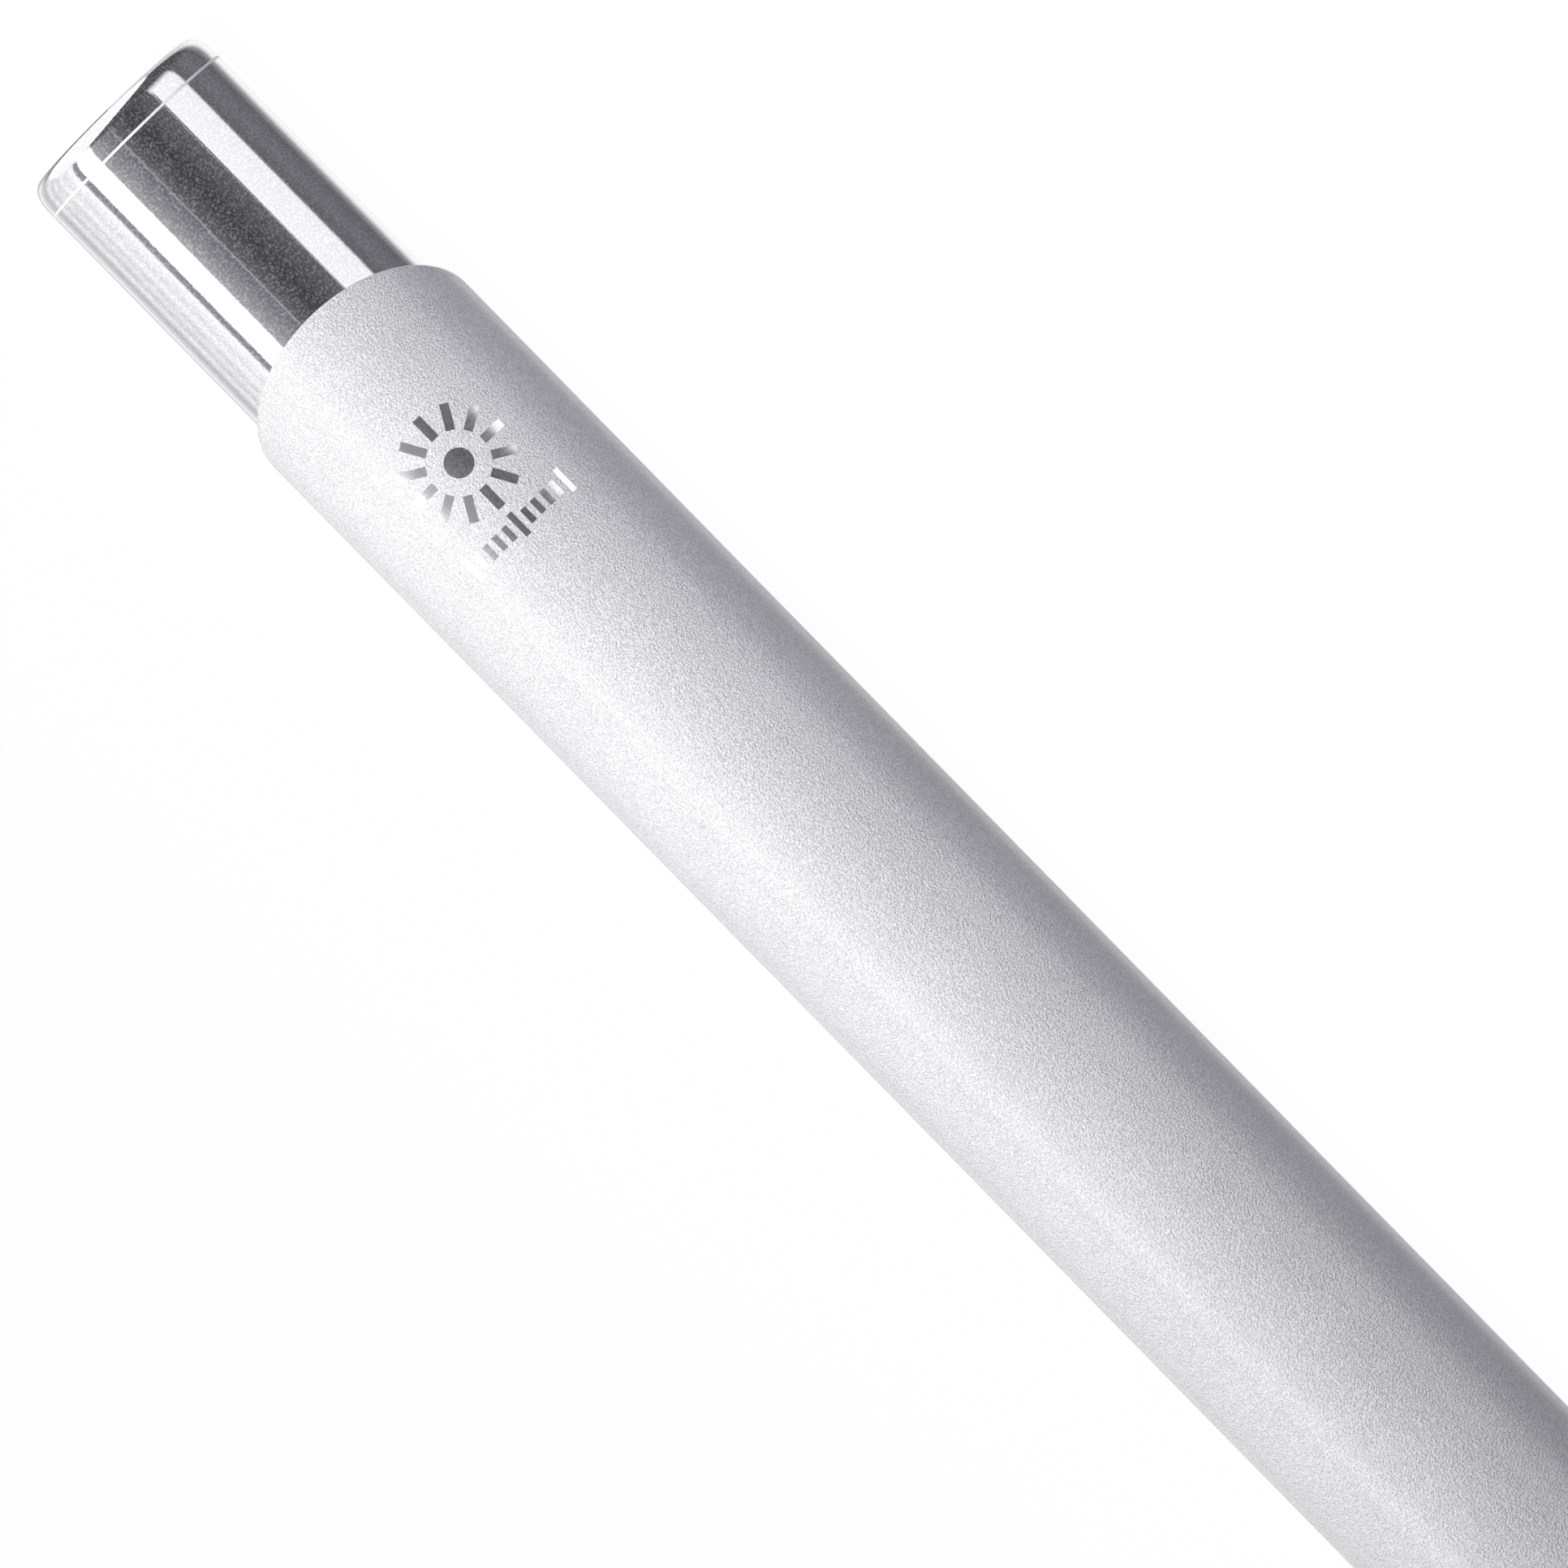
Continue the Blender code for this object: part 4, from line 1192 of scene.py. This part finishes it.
def make_world(stage):
    """White to the camera, bands of light and shade to bright metal, and an even light to matt surfaces."""
    back, over = camera_axes(stage)
    world = bpy.data.worlds.new("studio")
    bpy.context.scene.world = world
    world.use_nodes = True
    world.cycles.sampling_method = "NONE"
    tree = world.node_tree
    ray = add_node(tree, "ShaderNodeTexCoord").outputs["Generated"]

    def lean(way, axis):
        """How far a way leans to an axis, from -1 to 1."""
        return made(tree, "ShaderNodeVectorMath", {0: way, 1: axis}, operation="DOT_PRODUCT")

    turn = worked_out(tree, "ARCTAN2", lean(ray, -over), lean(ray, back))
    turn = worked_out(tree, "MULTIPLY_ADD", turn, 1 / (2 * math.pi), 0.5)
    parts = add_node(tree, "ShaderNodeSeparateXYZ", {"Vector": ray}).outputs
    endwise = worked_out(tree, "ABSOLUTE", parts["X"])
    near_end = spread(tree, endwise, 0, 1, ENDS_FROM, ENDS_TO, "SMOOTHSTEP")
    mirrored = vector(tree, X=endwise, Y=parts["Y"], Z=parts["Z"])
    to_panel = Vector((math.cos(stage.end_angle), 0, 0)) + math.sin(stage.end_angle) * over
    outer, inner = math.cos(stage.end_spread + PANEL_EDGE), math.cos(stage.end_spread - PANEL_EDGE)
    in_panel = spread(tree, lean(mirrored, to_panel), 0, 1, outer, inner, "SMOOTHSTEP")
    past_button = worked_out(tree, "GREATER_THAN", parts["X"], 0)
    panels = blend_colours(tree, past_button, grey(stage.nose_level), grey(stage.end_level))
    around, past = [banded(tree, turn, bands) for bands in (ROUND_THE_PEN, PAST_THE_ENDS)]
    light = blend_colours(tree, in_panel, blend_colours(tree, near_end, around, past), panels)
    path = add_node(tree, "ShaderNodeLightPath").outputs
    light = blend_colours(tree, path["Is Glossy Ray"], grey(stage.ambient), light)
    for kind in ("Is Transmission Ray", "Is Camera Ray"):
        light = blend_colours(tree, path[kind], light, grey(1))
    tree.links.new(light, tree.nodes["Background"].inputs["Color"])


def add_lamp(name, target, towards, distance, size, power):
    """A round lamp that shines on a target, and that neither the camera nor bright metal sees."""
    data = bpy.data.lights.new(name, "AREA")
    data.shape = "DISK"
    data.size = size
    data.energy = power
    lamp = bpy.data.objects.new(name, data)
    lamp.matrix_world = towards.to_track_quat("Z", "Y").to_matrix().to_4x4()
    lamp.matrix_world.translation = target + towards * distance
    lamp.visible_camera = False
    lamp.visible_glossy = False
    bpy.context.scene.collection.objects.link(lamp)


def make_lamps(stage):
    """A soft lamp over the barrel's mouth, and a small one past the button."""
    back, over = camera_axes(stage)
    towards = math.cos(stage.key_angle) * back + math.sin(stage.key_angle) * over
    mouth = PEN @ Vector((0, 0, top("barrel")))
    add_lamp("key", mouth, towards, stage.key_distance, stage.key_size, stage.key_power)
    button = PEN @ Vector((0, 0, top("button_cap")))
    add_lamp("end_lamp", button, Vector((1, 0, 0)), stage.end_distance, stage.end_size, stage.end_power)


# Operators and panel

class PEN_OT_barrel(bpy.types.Operator):
    """Turn the satin barrel, cut its mouth on a slant and cut the clip's slot"""

    bl_idname = "pen.barrel"
    bl_label = "Barrel"

    def execute(self, context):
        make_barrel(context.scene.pen.barrel, context.scene.pen.clip)
        return {"FINISHED"}


class PEN_OT_mark(bpy.types.Operator):
    """Polish a ring of rays and a row of ticks into the barrel's front"""

    bl_idname = "pen.mark"
    bl_label = "Mark"

    def execute(self, context):
        make_mark(context.scene.pen.mark)
        return {"FINISHED"}


class PEN_OT_button(bpy.types.Operator):
    """Turn the push button's tube and its cap"""

    bl_idname = "pen.button"
    bl_label = "Push button"

    def execute(self, context):
        make_button(context.scene.pen.button)
        return {"FINISHED"}


class PEN_OT_clip(bpy.types.Operator):
    """Bend the clip from a strip"""

    bl_idname = "pen.clip"
    bl_label = "Clip"

    def execute(self, context):
        make_clip(context.scene.pen.clip)
        return {"FINISHED"}


class PEN_OT_nose(bpy.types.Operator):
    """Turn the nose cone with its thread, and the ring above it"""

    bl_idname = "pen.nose"
    bl_label = "Nose"

    def execute(self, context):
        make_nose(context.scene.pen.nose)
        return {"FINISHED"}


class PEN_OT_spring(bpy.types.Operator):
    """Wind the return spring"""

    bl_idname = "pen.spring"
    bl_label = "Return spring"

    def execute(self, context):
        make_spring(context.scene.pen.spring)
        return {"FINISHED"}


class PEN_OT_point(bpy.types.Operator):
    """Turn the steel point and grind its ball"""

    bl_idname = "pen.point"
    bl_label = "Point"

    def execute(self, context):
        make_socket(context.scene.pen.point)
        make_ball()
        return {"FINISHED"}


class PEN_OT_inside(bpy.types.Operator):
    """Finish the pieces inside the pen"""

    bl_idname = "pen.inside"
    bl_label = "Inside"

    def execute(self, context):
        finish_inside()
        return {"FINISHED"}


class PEN_OT_stage(bpy.types.Operator):
    """Set up the camera, the floor and the light"""

    bl_idname = "pen.stage"
    bl_label = "Stage"

    def execute(self, context):
        stage = context.scene.pen.stage
        context.scene.view_settings.view_transform = "Standard"
        make_camera(stage)
        make_floor(stage)
        make_world(stage)
        make_lamps(stage)
        return {"FINISHED"}


OPERATORS = (PEN_OT_barrel, PEN_OT_mark, PEN_OT_button, PEN_OT_clip, PEN_OT_nose, PEN_OT_spring, PEN_OT_point,
             PEN_OT_inside, PEN_OT_stage)


class PEN_PT_finish(bpy.types.Panel):
    """Settings and steps of the pen"""

    bl_idname = "PEN_PT_finish"
    bl_label = "Ballpoint Pen"
    bl_space_type = "VIEW_3D"
    bl_region_type = "UI"
    bl_category = "Pen"

    def draw(self, context):
        for operator in OPERATORS:
            box = self.layout.box()
            box.operator(operator.bl_idname)
            group = getattr(context.scene.pen, operator.bl_idname.split(".")[1], None)
            if group:
                for name in group.__annotations__:
                    box.prop(group, name)


CLASSES = (PenBarrelSettings, PenMarkSettings, PenButtonSettings, PenClipSettings, PenNoseSettings,
           PenSpringSettings, PenPointSettings, PenStageSettings, PenSettings, *OPERATORS, PEN_PT_finish)


def register():
    for item in CLASSES:
        bpy.utils.register_class(item)
    bpy.types.Scene.pen = bpy.props.PointerProperty(type=PenSettings)


def unregister():
    del bpy.types.Scene.pen
    for item in reversed(CLASSES):
        bpy.utils.unregister_class(item)


def main():
    register()
    bpy.ops.pen.barrel()
    bpy.ops.pen.mark()
    bpy.ops.pen.button()
    bpy.ops.pen.clip()
    bpy.ops.pen.nose()
    bpy.ops.pen.spring()
    bpy.ops.pen.point()
    bpy.ops.pen.inside()
    bpy.ops.pen.stage()


if __name__ == "__main__":
    main()
